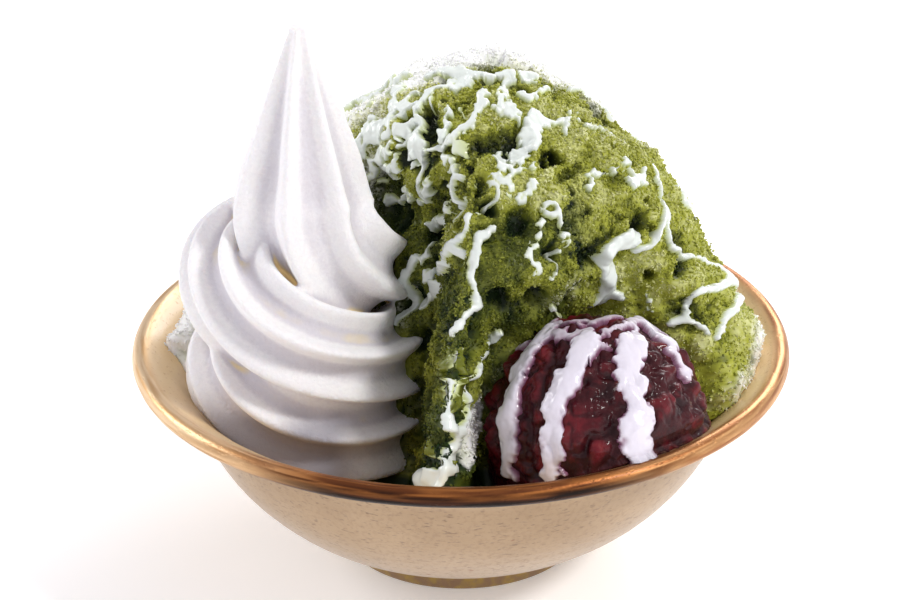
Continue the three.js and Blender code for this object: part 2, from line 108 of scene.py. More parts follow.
MIDDLE = (0, 0, 0)
WARM = (1.0, 0.985, 0.955)
add_light("key_sun", "SUN", (0.8, -0.35, 0.85), MIDDLE, 1.65, angle=math.radians(12), color=WARM)
add_light("left_sun", "SUN", (-0.9, 0.35, 0.5), MIDDLE, 1.2, angle=math.radians(25))
add_light("rim_lamp", "AREA", (0.3, 0.6, 0.45), (0, 0, 0.1), 2.4, size=0.35)

world = bpy.data.worlds.new("sky")
scene.world = world
world.use_nodes = True
sky = world.node_tree.nodes["Background"]
sky.inputs["Color"].default_value = (0.96, 0.935, 1.0, 1)
sky.inputs["Strength"].default_value = 0.6

FLOOR_HALF = 3.0
floor_mesh = bpy.data.meshes.new("floor")
corners = [(-1, -1), (1, -1), (1, 1), (-1, 1)]
floor_mesh.from_pydata([(FLOOR_HALF * x, FLOOR_HALF * y, 0) for x, y in corners], [], [(0, 1, 2, 3)])
floor = bpy.data.objects.new("floor", floor_mesh)
scene.collection.objects.link(floor)

# %% [markdown]
# ## Noise
# Nearly everything here is uneven: ice crumbles, glaze is mottled, milk runs in thick and thin
# stretches. Value noise gives that: a random number at each point of a lattice, eased between
# them. Added up in finer and finer octaves it looks like crumbs, and its size without its sign
# makes rounded clumps with creases between them. It works on whole arrays of points at once,
# as do the small helpers for lengths and circles.

# %% Noise on arrays of points
def length(vectors):
    return np.linalg.norm(vectors, axis=-1)


def unit(vectors):
    """Vectors (..., 3) or (..., 2) made one long."""
    return vectors / np.maximum(length(vectors)[..., None], 1e-9)


def all_round(count):
    """Equal steps of angle round the circle, in radians."""
    return np.linspace(0, 2 * np.pi, count, endpoint=False)


def turned(radius, angle, height):
    """Points (..., 3) at a radius, an angle and a height about the Z axis."""
    return np.stack(np.broadcast_arrays(radius * np.cos(angle), radius * np.sin(angle), height), -1)


def smoothstep(x, start, end):
    """0 below start, 1 above end and an S-shaped curve between: t * t * (3 - 2 t)."""
    t = np.clip((x - start) / (end - start), 0, 1)
    return t * t * (3 - 2 * t)


def lattice_value(i, j, k):
    """A repeatable number from 0 to 1 for each whole-number place: a large sine's fraction."""
    value = np.sin(i * 127.1 + j * 311.7 + k * 74.7) * 43758.5453
    return value - np.floor(value)


def value_noise(points, size):
    """Smooth noise from -1 to 1 with lumps of the given size, at points (..., 3) in millimetres."""
    scaled = points / size
    whole = np.floor(scaled)
    u, v, w = np.moveaxis((scaled - whole) ** 2 * (3 - 2 * (scaled - whole)), -1, 0)
    i, j, k = np.moveaxis(whole, -1, 0)

    def along(b, c):
        return (1 - u) * lattice_value(i, j + b, k + c) + u * lattice_value(i + 1, j + b, k + c)

    def across(c):
        return (1 - v) * along(0, c) + v * along(1, c)

    return 2 * ((1 - w) * across(0) + w * across(1)) - 1


def fractal_noise(points, size, octaves):
    """Value noise added up: each octave is half as large and half as strong as the one before."""
    total = sum(value_noise(points + 37.3 * n, size / 2**n) / 2**n for n in range(octaves))
    return total / (2 - 2.0 ** (1 - octaves))


def crumble(points, size):
    """Rounded crumbs with sharp creases between them, from 0 in a crease to 1."""
    return np.abs(value_noise(points, size))


def noise_vector(points, size):
    """Three noises at once, to push points about."""
    return np.stack([value_noise(points + 50.0 * n, size) for n in (1, 2, 3)], -1)


# %% [markdown]
# ## Meshes from grids
# A shape is a function of two numbers on a grid: one runs round the piece and one from end to
# end. The grid becomes a closed mesh with a single vertex, a pole, at each end. Values that
# belong to the surface, such as how deep in a hollow a point lies, are kept as attributes for
# the materials.

# %% Meshes from grids
def keep_attribute(mesh, key, values):
    mesh.attributes.new(key, "FLOAT", "POINT").data.foreach_set("value", values.astype(np.float32).ravel())


def make_piece(name, points, face_groups, attributes=None, faceted=False):
    """A mesh object from points (n, 3) in millimetres and arrays of faces, turned outwards."""
    mesh = bpy.data.meshes.new(name)
    corners = np.concatenate([faces.ravel() for faces in face_groups]).astype(np.int32)
    counts = np.concatenate([np.full(len(faces), faces.shape[1]) for faces in face_groups])
    mesh.vertices.add(len(points))
    mesh.vertices.foreach_set("co", (points * MM).astype(np.float32).ravel())
    mesh.loops.add(len(corners))
    mesh.loops.foreach_set("vertex_index", corners)
    mesh.polygons.add(len(counts))
    mesh.polygons.foreach_set("loop_start", (np.cumsum(counts) - counts).astype(np.int32))
    mesh.update(calc_edges=True)
    fans = [faces[:, [0, n, n + 1]] for faces in face_groups for n in range(1, faces.shape[1] - 1)]
    a, b, c = np.moveaxis(points[np.concatenate(fans)], 1, 0)
    volume = np.einsum("ij,ij->", a, np.cross(b, c)) / 6
    if volume < 0:
        mesh.flip_normals()
    mesh.shade_flat() if faceted else mesh.shade_smooth()
    for key, values in (attributes or {}).items():
        keep_attribute(mesh, key, values)
    piece = bpy.data.objects.new(name, mesh)
    scene.collection.objects.link(piece)
    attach(piece, "root")
    triangles = int((counts - 2).sum())
    print(f"{name}: {len(points)} points, {triangles} triangles, {abs(volume) / 1000:.1f} cubic centimetres")
    return piece


def ring_cells(rows, columns):
    """Four corners of each cell between neighbouring rings, whose last column meets the first."""
    column = np.arange(columns)
    following = (column + 1) % columns
    ring = np.arange(rows - 1)[:, None] * columns
    cells = [ring + column, ring + following, ring + columns + following, ring + columns + column]
    return np.stack(cells, -1).reshape(-1, 4)


def skin_faces(rows, columns):
    """Faces of rings closed by a pole, point 0, before the first ring and one after the last."""
    column = np.arange(columns)
    following = (column + 1) % columns
    last = 1 + (rows - 1) * columns
    start_cap = np.stack([np.zeros_like(column), 1 + following, 1 + column], -1)
    end_cap = np.stack([last + column, last + following, np.full_like(column, 1 + rows * columns)], -1)
    return [start_cap, 1 + ring_cells(rows, columns), end_cap]


def closed_skin(name, start, rings, end, attributes=None):
    """A closed piece from a start pole, rings (rows, columns, 3) and an end pole, in millimetres."""
    points = np.concatenate([[start], rings.reshape(-1, 3), [end]])
    padded = {
        key: np.concatenate([[values[0].mean()], values.ravel(), [values[-1].mean()]])
        for key, values in (attributes or {}).items()
    }
    return make_piece(name, points, skin_faces(*rings.shape[:2]), padded)


# %% [markdown]
# ## Writing shaders as sums
# A material's node tree is easier to read as a formula. `Wire` wraps one output socket and
# gives it Python's operators, each of which adds a Math node. `Finish` is one material: its
# `node` method adds any other node, `mix` blends two colours and `layers` lays colours over one
# another. Colours are numbers from 0 to 255, as a colour picker shows them.

# %% Shader helpers
def srgb(red, green, blue):
    """A colour from 0 to 255 as the linear numbers that shaders use."""
    value = np.array([red, green, blue]) / 255
    linear = np.where(value <= 0.04045, value / 12.92, ((value + 0.055) / 1.055) ** 2.4)
    return tuple(float(x) for x in linear)


class Wire:
    """A number that varies over a surface. Python's operators on it add Math nodes."""

    def __init__(self, tree, socket):
        self.tree = tree
        self.socket = socket

    def calculate(self, operation, a, b):
        node = self.tree.nodes.new("ShaderNodeMath")
        node.operation = operation
        for slot, value in zip(node.inputs, (a, b)):
            if isinstance(value, Wire):
                self.tree.links.new(value.socket, slot)
            else:
                slot.default_value = value
        return Wire(self.tree, node.outputs[0])

    def __add__(self, other):
        return self.calculate("ADD", self, other)

    def __sub__(self, other):
        return self.calculate("SUBTRACT", self, other)

    def __rsub__(self, other):
        return self.calculate("SUBTRACT", other, self)

    def __mul__(self, other):
        return self.calculate("MULTIPLY", self, other)

    __radd__, __rmul__ = __add__, __mul__

    def step(self, start, end):
        """0 below start and 1 above end, eased between."""
        node = self.tree.nodes.new("ShaderNodeMapRange")
        node.interpolation_type = "SMOOTHSTEP"
        self.tree.links.new(self.socket, node.inputs["Value"])
        low, high = sorted((start, end))
        values = {"From Min": low, "From Max": high, "To Min": start > end, "To Max": start < end}
        for key, value in values.items():
            node.inputs[key].default_value = float(value)
        return Wire(self.tree, node.outputs["Result"])


class Finish:
    """One material. Constants go straight onto the shader's sockets; what varies is linked by set."""

    def __init__(self, name, **constants):
        self.material = bpy.data.materials.new(name)
        self.material.use_nodes = True
        self.tree = self.material.node_tree
        self.shader = self.tree.nodes["Principled BSDF"]
        for socket, value in constants.items():
            self.shader.inputs[socket.replace("_", " ")].default_value = value
        self.object_place = self.node("TexCoord", {}, {}, "Object")

    def node(self, kind, settings, inputs, output=0):
        """Adds a node: settings first, then its sockets' values or links. Returns one output."""
        node = self.tree.nodes.new("ShaderNode" + kind)
        for key, value in settings.items():
            setattr(node, key, value)
        for key, value in inputs.items():
            if isinstance(value, Wire):
                self.tree.links.new(value.socket, node.inputs[key])
            else:
                node.inputs[key].default_value = value
        return Wire(self.tree, node.outputs[output])

    def noise(self, size_mm, detail=2.0, stretch=(1, 1, 1), roughness=0.5):
        """Noise from 0 to 1 with features of size_mm, longer where stretch is below 1."""
        place = self.node("VectorMath", {"operation": "MULTIPLY"}, {0: self.object_place, 1: stretch})
        inputs = {"Vector": place, "Scale": 1 / (size_mm * MM), "Detail": detail, "Roughness": roughness}
        return self.node("TexNoise", {}, inputs)

    def coordinate(self, axis):
        """The object coordinate along the axis X, Y or Z, in millimetres."""
        return self.node("SeparateXYZ", {}, {0: self.object_place}, axis) * (1 / MM)

    def attribute(self, name):
        return self.node("Attribute", {"attribute_name": name}, {}, "Fac")

    def mix(self, factor, first, second):
        """The first colour where factor is 0, the second where it is 1."""
        first, second = (c if isinstance(c, Wire) else (*srgb(*c), 1) for c in (first, second))
        return self.node("Mix", {"data_type": "RGBA"}, {0: factor, 6: first, 7: second}, 2)

    def layers(self, color, *covers):
        """A colour with others over it, each given as its factor and itself."""
        for factor, cover in covers:
            color = self.mix(factor, color, cover)
        return color

    def set(self, socket, wire):
        self.tree.links.new(wire.socket, self.shader.inputs[socket])

    def bump(self, height, depth_mm):
        """Fine relief: height from 0 to 1 stands for depth_mm."""
        inputs = {"Height": height, "Distance": depth_mm * MM, "Strength": 1.0}
        self.set("Normal", self.node("Bump", {}, inputs))

    def paint(self, piece):
        piece.data.materials.clear()
        piece.data.materials.append(self.material)


floor_finish = Finish(
    "floor_finish",
    Roughness=1.0,
    Specular_IOR_Level=0.0,
    Base_Color=(*srgb(250, 250, 250), 1),
    Emission_Color=(1.0, 1.0, 1.0, 1),
    Emission_Strength=0.25,
)
floor_finish.paint(floor)

# %% [markdown]
# ## The bowl
# The bowl was thrown on a wheel, so it is a profile turned about its axis: a foot ring, a round
# belly, a flare and a rolled lip. The profile's corners are cut off, which is Chaikin's way to
# a smooth line. Then the turned surface gets what a hand leaves: faint throwing rings, a lip
# that isn't quite round and a belly that isn't quite even.

# %% Bowl
RIM_RADIUS = 1000 * (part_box("bowl")[1].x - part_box("bowl")[0].x) / 2
LIP_RADIUS = 2.5
WALL = 4.3
FOOT_RADIUS = 34.0
HOLLOW_UNDER_FOOT = 4.2
INNER_FLOOR = 9.1
BOWL_COLUMNS = 288
BRUSHED = (88 / 12, 1 / 0.55)  # streaks for each radian round the lip and millimetre across it


def bezier(corners, t):
    """A cubic curve: four corners weighted by (1-t)^3, 3(1-t)^2 t, 3(1-t) t^2 and t^3."""
    t = np.asarray(t)[:, None]
    weights = [(1 - t) ** 3, 3 * (1 - t) ** 2 * t, 3 * (1 - t) * t**2, t**3]
    return sum(w * np.array(corner) for w, corner in zip(weights, corners))


def belly(t):
    """The belly's outer line at t, as (radius, height), and the unit direction along it."""
    foot = np.array([FOOT_RADIUS + 1.4, 6.0])
    top = np.array([RIM_RADIUS - 12.9, RIM - 6])
    handles = [foot, foot + [20.9, 7.8], top - [4.6, 21.7], top]
    line = bezier(handles, t)
    along = bezier(handles, np.asarray(t) + 1e-3) - line
    return line, unit(along)


def bowl_profile():
    """Corners (radius, height) from the foot's hollow up the outside, over the lip and down inside."""
    hollow = [[0, HOLLOW_UNDER_FOOT], [20, HOLLOW_UNDER_FOOT], [28.5, HOLLOW_UNDER_FOOT]]
    foot = [*hollow, [29.5, 0.6], [30.1, 0], [33.4, 0], [34, 0.6], [34.1, 3.2], [34.4, 5.2]]
    outside, _ = belly(np.linspace(0, 0.95, 22))
    under_lip = [[RIM_RADIUS - 9, RIM - 5.6], [RIM_RADIUS - 5, RIM - 3.4]]
    turn = np.radians(np.linspace(-80, 120, 11))
    lip = np.stack([np.cos(turn), np.sin(turn)], 1) * LIP_RADIUS + [RIM_RADIUS - LIP_RADIUS, RIM]
    flare = np.array([[-5.6, 0.9], [-8, -0.7], [-11, -3], [-14.2, -6.3]]) + [RIM_RADIUS, RIM]
    line, along = belly(np.linspace(0.84, 0.0, 20))
    inside = line + WALL * np.stack([-along[:, 1], along[:, 0]], 1)
    floor_line = [[20, INNER_FLOOR + 0.2], [0, INNER_FLOOR]]
    return np.concatenate([foot, outside, under_lip, lip, flare, inside, floor_line])


def cut_corners(line):
    """Chaikin's rule: each segment keeps its middle half, and the two ends stay."""
    quarter = 0.75 * line[:-1] + 0.25 * line[1:]
    three_quarters = 0.25 * line[:-1] + 0.75 * line[1:]
    inner = np.stack([quarter, three_quarters], 1).reshape(-1, 2)
    return np.concatenate([line[:1], inner[1:-1], line[-1:]])


profile = cut_corners(bowl_profile())
bearing = all_round(BOWL_COLUMNS)
radius, height = profile[1:-1, 0][:, None], profile[1:-1, 1][:, None]
rings = turned(radius, bearing, height)
above_foot = smoothstep(height, 8, 20)
dents = 0.22 * value_noise(rings, 26.0) + 0.08 * value_noise(rings, 9.0)
throwing_rings = 0.07 * np.sin(height * 2.1 + 1.3 * np.sin(height * 0.37) + 0.4 * np.sin(bearing))
rings = rings + turned(above_foot * (dents + throwing_rings) - 0.25 * above_foot, bearing, 0.0)
along_profile = np.cumsum(length(np.diff(profile, axis=0)))[: len(radius), None]
brushed = np.stack(np.broadcast_arrays(bearing * BRUSHED[0], along_profile * BRUSHED[1], 0.0), -1)
glaze_fields = {
    "profile": np.linspace(0, 1, len(profile) - 2)[:, None] + 0 * bearing,
    "streak": 0.5 + 0.5 * (value_noise(brushed, 1.0) + 0.5 * value_noise(brushed * 2.3, 1.0)) / 1.5,
    "front": smoothstep(-np.sin(bearing) + 0 * height, 0.75, 0.96),
    "left": smoothstep(-np.cos(bearing) + 0 * height, 0.4, 0.9),
}
foot_middle, inner_middle = [0, 0, HOLLOW_UNDER_FOOT], [0, 0, INNER_FLOOR]
bowl = closed_skin("stoneware_bowl", foot_middle, rings, inner_middle, glaze_fields)
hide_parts("bowl")
LIP_SHARE = float(np.argmax(profile[:, 1])) / len(profile)
print("lip's top:", profile[np.argmax(profile[:, 1])].round(2), "share of the profile", round(LIP_SHARE, 3))

INSIDE = bowl_profile()[np.argmax(bowl_profile()[:, 1]):][::-1]
CLEARANCE = 0.4
REACH_ABOVE_LIP = 82.0


def inner_radius(height):
    """Radius of the bowl's inner wall at a height in millimetres."""
    return np.interp(height, INSIDE[:, 1], INSIDE[:, 0])


def kept_in_bowl(points):
    """Draws points (..., 3) that would cross the bowl's wall back towards its axis."""
    reach = length(points[..., :2])
    limit = inner_radius(points[..., 2]) - CLEARANCE
    limit = np.where(points[..., 2] > INSIDE[:, 1].max(), REACH_ABOVE_LIP, limit)
    drawn = points.copy()
    drawn[..., :2] *= np.minimum(1, limit / np.maximum(reach, 1e-6))[..., None]
    return drawn


# %% [markdown]
# ## The bowl's glaze
# The outside wears a thin sand-coloured glaze, through which dark specks of the clay have
# burnt. Inside, the glaze pooled and turned golden. On the lip it ran thin and shines like
# metal: copper, with a painted highlight that makes it paler and more golden towards the left,
# and at the front a painted reflection that makes it darker bronze with a dark lower edge. Fine
# streaks run round the lip, as a brush leaves them. Height and the place along the profile tell
# the zones apart, with noise on their edges.

# %% Bowl finish
glaze = Finish("bowl_glaze", Roughness=0.42, Coat_Roughness=0.12)
along = glaze.attribute("profile")
streak = glaze.attribute("streak")
up = glaze.coordinate("Z")
mottle = glaze.noise(14.0, detail=4.0)
fine = glaze.noise(1.2, detail=3.0)
specks = glaze.noise(1.1, stretch=(0.55, 0.55, 2.2)).step(0.6, 0.7)
blemishes = glaze.noise(5.0, detail=1.0).step(0.77, 0.81)

outside_color = glaze.layers(
    glaze.mix(mottle, (160, 130, 94), (186, 157, 120)),
    (up.step(36, 12) * 0.55, (192, 174, 154)),
    (fine.step(0.45, 0.75) * 0.35, (140, 106, 72)),
    (specks * 0.6, (112, 84, 60)),
    (blemishes * 0.8, (140, 84, 44)),
)
inside_color = glaze.layers(
    glaze.mix(mottle, (228, 190, 132), (244, 216, 170)),
    ((up + (mottle - 0.5) * 8.0).step(54, 44) * 0.75, (222, 158, 72)),
    (fine.step(0.6, 0.74) * 0.45, (176, 112, 44)),
)
copper = glaze.mix(streak.step(0.3, 0.75), (162, 106, 60), (214, 164, 110))
# painted highlight: the lip paler and more golden on the left, where the light falls
highlight_pale_gold = glaze.mix(streak.step(0.2, 0.7), (204, 162, 110), (232, 204, 164))
# painted reflection: the front of the lip darker bronze
front_reflection_bronze = glaze.mix(streak.step(0.3, 0.8), (104, 55, 22), (168, 104, 50))
# painted reflection: the lower edge of the lip at the front dark, nearly black
dark_reflection_edge = glaze.mix(streak.step(0.4, 0.8), (24, 10, 4), (64, 32, 13))
lip_lower = (up + (streak - 0.5) * 1.8).step(RIM + 1.9, RIM + 0.1)
lip_color = glaze.layers(
    copper,
    (glaze.attribute("left"), highlight_pale_gold),
    (glaze.attribute("front"), glaze.mix(lip_lower, front_reflection_bronze, dark_reflection_edge)),
)
foot_color = glaze.mix(glaze.noise(3.0, detail=4.0).step(0.35, 0.75), (146, 114, 80), (178, 146, 60))
is_lip = along.step(LIP_SHARE - 0.115, LIP_SHARE - 0.1)
is_inside = along.step(LIP_SHARE + 0.02, LIP_SHARE + 0.05)
is_foot = up.step(6.6, 5.6)
color = glaze.layers(outside_color, (is_lip, lip_color), (is_inside, inside_color), (is_foot, foot_color))
glaze.set("Base Color", color)
glaze.set("Metallic", is_lip * (1 - is_inside) * 0.75)
glaze.set("Coat Weight", 0.35 - is_lip * (1 - is_inside) * 0.3)
glaze.bump(fine * 0.5 + (1 - specks) * 0.5, 0.12)
glaze.paint(bowl)

# %% [markdown]
# ## Soft serve
# The nozzle is a star with seven points, so the rope of soft serve has seven ridges. It is laid
# in nearly three turns that lean to the left, closes in on its own axis and is pulled off
# upwards. The star is carried along the coil by a formula, and the turns are then melted
# together: a voxel remesh turns the overlapping rope into one skin, and a smoothing pass rounds
# it as the soft surface rounds itself.

# %% Soft serve
SWIRL_AXIS = np.array([-40.0, -20.1])
SWIRL_TURNS = 2.886
SWIRL_RIDGES = 7
ROPE_STEPS = 900


def coil_bearing(turns):
    return np.pi / 2 - 2 * np.pi * turns


def rope_centre(turns):
    """Centre line (n, 3) from the swirl's axis: a leaning coil that closes in and is pulled up."""
    angle = coil_bearing(turns)
    radius = 14.5 * (1 - smoothstep(turns, 1.98, 2.65))
    rising = RIM - 23.2 + 26.1 * turns
    rest = RIM - 4
    height = np.maximum(rising, rest - 0.25 * (rest - rising))
    height = height + (-6.6 * np.cos(angle) - 1.7 * np.sin(angle)) * (1 - smoothstep(turns, 2.1, 2.6))
    peak = np.clip((turns - 2.34) / (SWIRL_TURNS - 2.34), 0, None)
    x, y = radius * np.cos(angle) + 1.2 * peak**2, radius * np.sin(angle)
    return np.stack([x, y, height + 42.9 * peak**1.87], -1)


def rope_radius(turns):
    """Radius to a ridge's crest: a little more in the last turn, then a taper to the tip."""
    peak = np.clip((turns - 2.49) / (SWIRL_TURNS - 2.49), 0, None)
    return (17.6 + 2.0 * smoothstep(turns, 2.14, 2.73)) * (1 - 0.87 * peak**1.46)


def ridge_angle(turns):
    """Angle of the first ridge round the rope. It winds unevenly, and stands upright in the peak."""
    wound = 2 * np.pi * (0.613 * np.minimum(turns, 2.273) + 0.935 * np.maximum(turns - 2.273, 0))
    uneven = 0.789 * np.sin(2 * np.pi * (turns - 0.306)) + 0.125 * np.sin(4 * np.pi * (turns - 0.47))
    return wound - 0.341 - uneven * (1 - smoothstep(turns, 1.9, 2.35))


def swirl_rope(rows, columns):
    """Rings of the rope: at each step a star-shaped section at right angles to the centre line."""
    turns = np.linspace(0, SWIRL_TURNS, rows)
    centre = rope_centre(turns)
    forward = unit(np.gradient(centre, axis=0))
    outward = turned(1.0, coil_bearing(turns), 0.0)
    outward = unit(outward - (outward * forward).sum(1, keepdims=True) * forward)
    upward = np.cross(forward, outward)
    psi = all_round(columns)
    crowding = 0.31 * (1 - smoothstep(turns, 2.0, 2.4))[:, None] * np.sin(psi - 0.937)
    crest = (0.5 + 0.5 * np.cos(SWIRL_RIDGES * (psi + crowding - ridge_angle(turns)[:, None]))) ** 2.0
    reach = (rope_radius(turns)[:, None] * (1 - 0.3 * (1 - crest)))[..., None]
    spokes = np.cos(psi)[None, :, None] * outward[:, None] + np.sin(psi)[None, :, None] * upward[:, None]
    return centre, centre[:, None] + reach * spokes


def melt(piece, voxel_mm, smoothing):
    """Fuses overlapping skins into one by a voxel remesh, rounds the result and keeps it."""
    remesh = piece.modifiers.new("melt", "REMESH")
    remesh.mode = "VOXEL"
    remesh.voxel_size = voxel_mm * MM
    smooth = piece.modifiers.new("round", "SMOOTH")
    smooth.factor = 0.5
    smooth.iterations = smoothing
    finished = piece.evaluated_get(bpy.context.evaluated_depsgraph_get())
    rough, name = piece.data, piece.data.name
    piece.data = bpy.data.meshes.new_from_object(finished)
    piece.modifiers.clear()
    bpy.data.meshes.remove(rough)
    piece.data.name = name
    piece.data.shade_smooth()
    print(f"{piece.name}: melted to {sum(len(p.vertices) - 2 for p in piece.data.polygons)} triangles")


def vertex_vectors(mesh, kind):
    values = np.empty(3 * len(mesh.vertices), np.float32)
    mesh.vertices.foreach_get(kind, values)
    return values.reshape(-1, 3).astype(float)


def valley_depth(mesh, rounds):
    """How far each point lies below its surroundings in millimetres.

    The surroundings are the mean of a point's neighbours, taken again and again.
    """
    place, normal = vertex_vectors(mesh, "co") / MM, vertex_vectors(mesh, "normal")
    ends = np.empty(2 * len(mesh.edges), np.int32)
    mesh.edges.foreach_get("vertices", ends)
    a, b = ends.reshape(-1, 2).T
    count = len(place)
    degree = np.bincount(a, minlength=count) + np.bincount(b, minlength=count)
    mean = place
    for _ in range(rounds):
        total = [np.bincount(a, mean[b, k], count) + np.bincount(b, mean[a, k], count) for k in range(3)]
        mean = np.stack(total, -1) / degree[:, None]
    return ((mean - place) * normal).sum(1)


axis_shift = np.array([*SWIRL_AXIS, 0])
centre_line, rope_rings = swirl_rope(ROPE_STEPS, 126)
centre_line, rope_rings = centre_line + axis_shift, rope_rings + axis_shift
soft_serve = closed_skin("soft_serve_swirl", centre_line[0], rope_rings[1:-1], centre_line[-1])
melt(soft_serve, 0.62, 4)
valley = valley_depth(soft_serve.data, 60)
keep_attribute(soft_serve.data, "valley", valley)
print("depth of the valleys, percentiles:", np.percentile(valley, [2, 25, 50, 75, 90, 98]).round(2))
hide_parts("soft_serve")

# %% [markdown]
# Soft serve is white with an icy grain. Its valleys are painted greyer, as the shade where
# little light reaches, and the deepest are painted amber and made to glow a little, as painted
# light that has gone through the cream. Low down at the front it is painted darker, as the
# shade of the bowl.

# %% Soft serve finish
cream = Finish(
    "soft_serve_finish",
    Roughness=0.5,
    Subsurface_Weight=0.3,
    Subsurface_Radius=(3.0, 2.4, 1.9),
    Subsurface_Scale=MM,
    Specular_IOR_Level=0.4,
    Emission_Strength=1.0,
)
icy = cream.noise(1.0, detail=4.0, roughness=0.65)
sunken = cream.attribute("valley")
is_low = (cream.coordinate("Z") + (cream.noise(12.0) - 0.5) * 6.0).step(RIM + 4, RIM - 3)
is_front = cream.coordinate("Y").step(-30, -45) * cream.coordinate("X").step(-24, -34)
cream_color = cream.layers(
    cream.mix(cream.noise(18.0), (247, 245, 248), (252, 250, 248)),
    (icy.step(0.35, 0.7) * 0.25, (226, 222, 226)),
    # painted shade: the valleys greyer
    ((sunken + (icy - 0.5) * 0.3).step(0.05, 0.95) * 0.7, (204, 198, 206)),
    # painted light: the deepest valleys amber, as if lit through the cream
    ((sunken + (cream.noise(9.0) - 0.5) * 1.2).step(0.9, 1.6) * 0.8, (246, 222, 150)),
    # painted shade: low down at the front darker, as in the bowl's shade
    (is_low * is_front * 0.8, (132, 130, 146)),
)
cream.set("Base Color", cream_color)
# painted glow: the deepest valleys give off a little amber light
cream.set("Emission Color", cream.mix(sunken.step(1.3, 2.2), (0, 0, 0), (120, 92, 44)))
cream.bump(icy, 0.4)
cream.paint(soft_serve)

# %% [markdown]
# ## Shaved ice: the mound
# Shaved ice is a heap of small wet crystals that hold together in clumps. Its form is a tall
# dome that leans a little to the back, with two bays at the front where the soft serve and the
# beans stand. On that form lie swellings of a centimetre, hollows that the syrup has melted
# along its way down, crumbs of three sizes, flakes, and groups of small pits. Noise is drawn
# out along the syrup's way by shortening the coordinates in that direction.

# %% Form and relief of the ice
BAYS = [
    {"opens": (180, 205), "closes": (250, 267), "lower": 18, "narrower": 0.5, "fades": (0.6, 0.92)},
    {"opens": (265, 276), "closes": (316, 334), "lower": 10, "narrower": 0.38, "fades": (0.3, 0.62)},
]
FOOT_HEIGHT = RIM - 3
TOP_HEIGHT = RIM + 77.5
MOUND_RADIUS = 79.5
LEAN = (7.5, 10.0)
STREAK = np.array([-0.46, -0.22, -0.86])  # downhill and to the left

# Hollows that show from afar: bearing in degrees, percent of the way up, radius in millimetres.
HOLLOWS = [
    (-82, 85, 4.6), (-76, 84, 2.6), (-128, 82, 2.4), (-145, 89, 2.0), (-145, 60, 3.2),
    (-78, 69, 3.8), (-70, 62, 2.4), (-54, 56, 3.4), (-64, 81, 2.4), (-58, 80, 2.2),
    (-28, 60, 2.0), (-32, 56, 2.0), (-88, 71, 1.8), (-91, 75, 2.6), (-98, 65, 2.0),
    (-90, 25, 2.6), (-92, 19, 2.2), (-90, 37, 3.2), (-119, 59, 2.6), (-122, 43, 3.2),
    (-142, 65, 1.8), (-55, 95, 2.0), (-24, 50, 2.2), (-34, 44, 2.0), (-29, 33, 2.2),
    (-71, 48, 3.4), (-84, 49, 3.0), (-108, 52, 2.4), (-112, 33, 3.0), (-102, 42, 2.2),
]


def mound_form(bearing, share):
    """Point of the smooth dome at a bearing in radians and a share of the way from foot to top."""
    bearing, share = np.broadcast_arrays(bearing, share)
    degrees = np.degrees(bearing) % 360
    radius = MOUND_RADIUS * (1 - share) ** 0.515
    foot = FOOT_HEIGHT + 0 * share
    for bay in BAYS:
        inside = smoothstep(degrees, *bay["opens"]) * (1 - smoothstep(degrees, *bay["closes"]))
        radius = radius * (1 - bay["narrower"] * inside * (1 - smoothstep(share, *bay["fades"])))
        foot = foot - bay["lower"] * inside
    x = LEAN[0] * share + radius * np.cos(bearing)
    y = LEAN[1] * share + radius * np.sin(bearing)
    return np.stack([x, y, foot + (TOP_HEIGHT - foot) * share], -1)


def on_mound(degrees, percent):
    return mound_form(np.radians(degrees), percent / 100)


def mound_outward(bearing, share):
    """Unit normal of the dome, from small steps round and up."""
    step = 1e-3
    below, above = np.maximum(share - step, 0), np.minimum(share + step, 0.9999)
    around = mound_form(bearing + step, share) - mound_form(bearing - step, share)
    up = mound_form(bearing, above) - mound_form(bearing, below)
    return unit(np.cross(around, up))


def drawn_out(points, factor):
    """Points shortened along the streaks, so that noise on them comes out longer by the factor."""
    along = (points @ STREAK)[..., None] * STREAK
    return points - (1 - 1 / factor) * along


# Where the mound lies lower than the dome, or higher if negative: place, reach and depth in mm.
SHOULDERS = [
    ((27, 12, RIM + 66), 13, 5.5),
    ((-17, 10, RIM + 62), 11, 2.5),
    ((48, 8, RIM + 40), 14, 1.5),
    ((75, -12, RIM + 5), 10, -4.5),
]


def swelling(points):
    """Height of the clumps and shoulders over the dome."""
    height = 2.3 * value_noise(points, 11.0) + 1.2 * value_noise(points, 4.6)
    for place, reach, depth in SHOULDERS:
        apart = length(points - np.array(place))
        height = height - depth * np.exp(-(apart**2) / (2 * reach**2))
    return height


def melted(points):
    """How deep a place lies in a melted hollow, from 0 to 1."""
    ways = drawn_out(points + 1.5 * noise_vector(points, 4.0), 2.2)
    depth = smoothstep(fractal_noise(ways + 200, 11.0, 4), 0.08, 0.5)
    flat = (points + 1.8 * noise_vector(points, 4.5)).reshape(-1, 3)
    deepest = np.zeros(len(flat))
    for degrees, percent, radius in HOLLOWS:
        centre = on_mound(degrees, percent)
        reach = length((flat - centre) * [1.0, 1.0, 0.75]) / radius
        deepest = np.maximum(deepest, 1 - smoothstep(reach, 0.35, 1.35))
    return np.maximum(depth, deepest.reshape(depth.shape))


def pressed_crumbs(points):
    """The middle and the small crumbs, which also lift the milk that lies on them."""
    return crumble(points + 1.4 * noise_vector(points, 3.3) + 20, 2.9), crumble(points + 60, 1.4)


def pits_at(points):
    """Small pits that stand in groups, from 0 to 1, which the ice's finish paints dark as shade."""
    pits = smoothstep(value_noise(points + 1.0 * noise_vector(points, 2.0), 2.1), 0.2, 0.6)
    pits = pits * smoothstep(value_noise(points + 300, 8.0), -0.25, 0.25)
    x, y, _ = np.moveaxis(points, -1, 0)
    return pits * (1 - 0.85 * smoothstep(x, 20, 50)) * (1 - smoothstep(y - 0.25 * x, 0, 14))


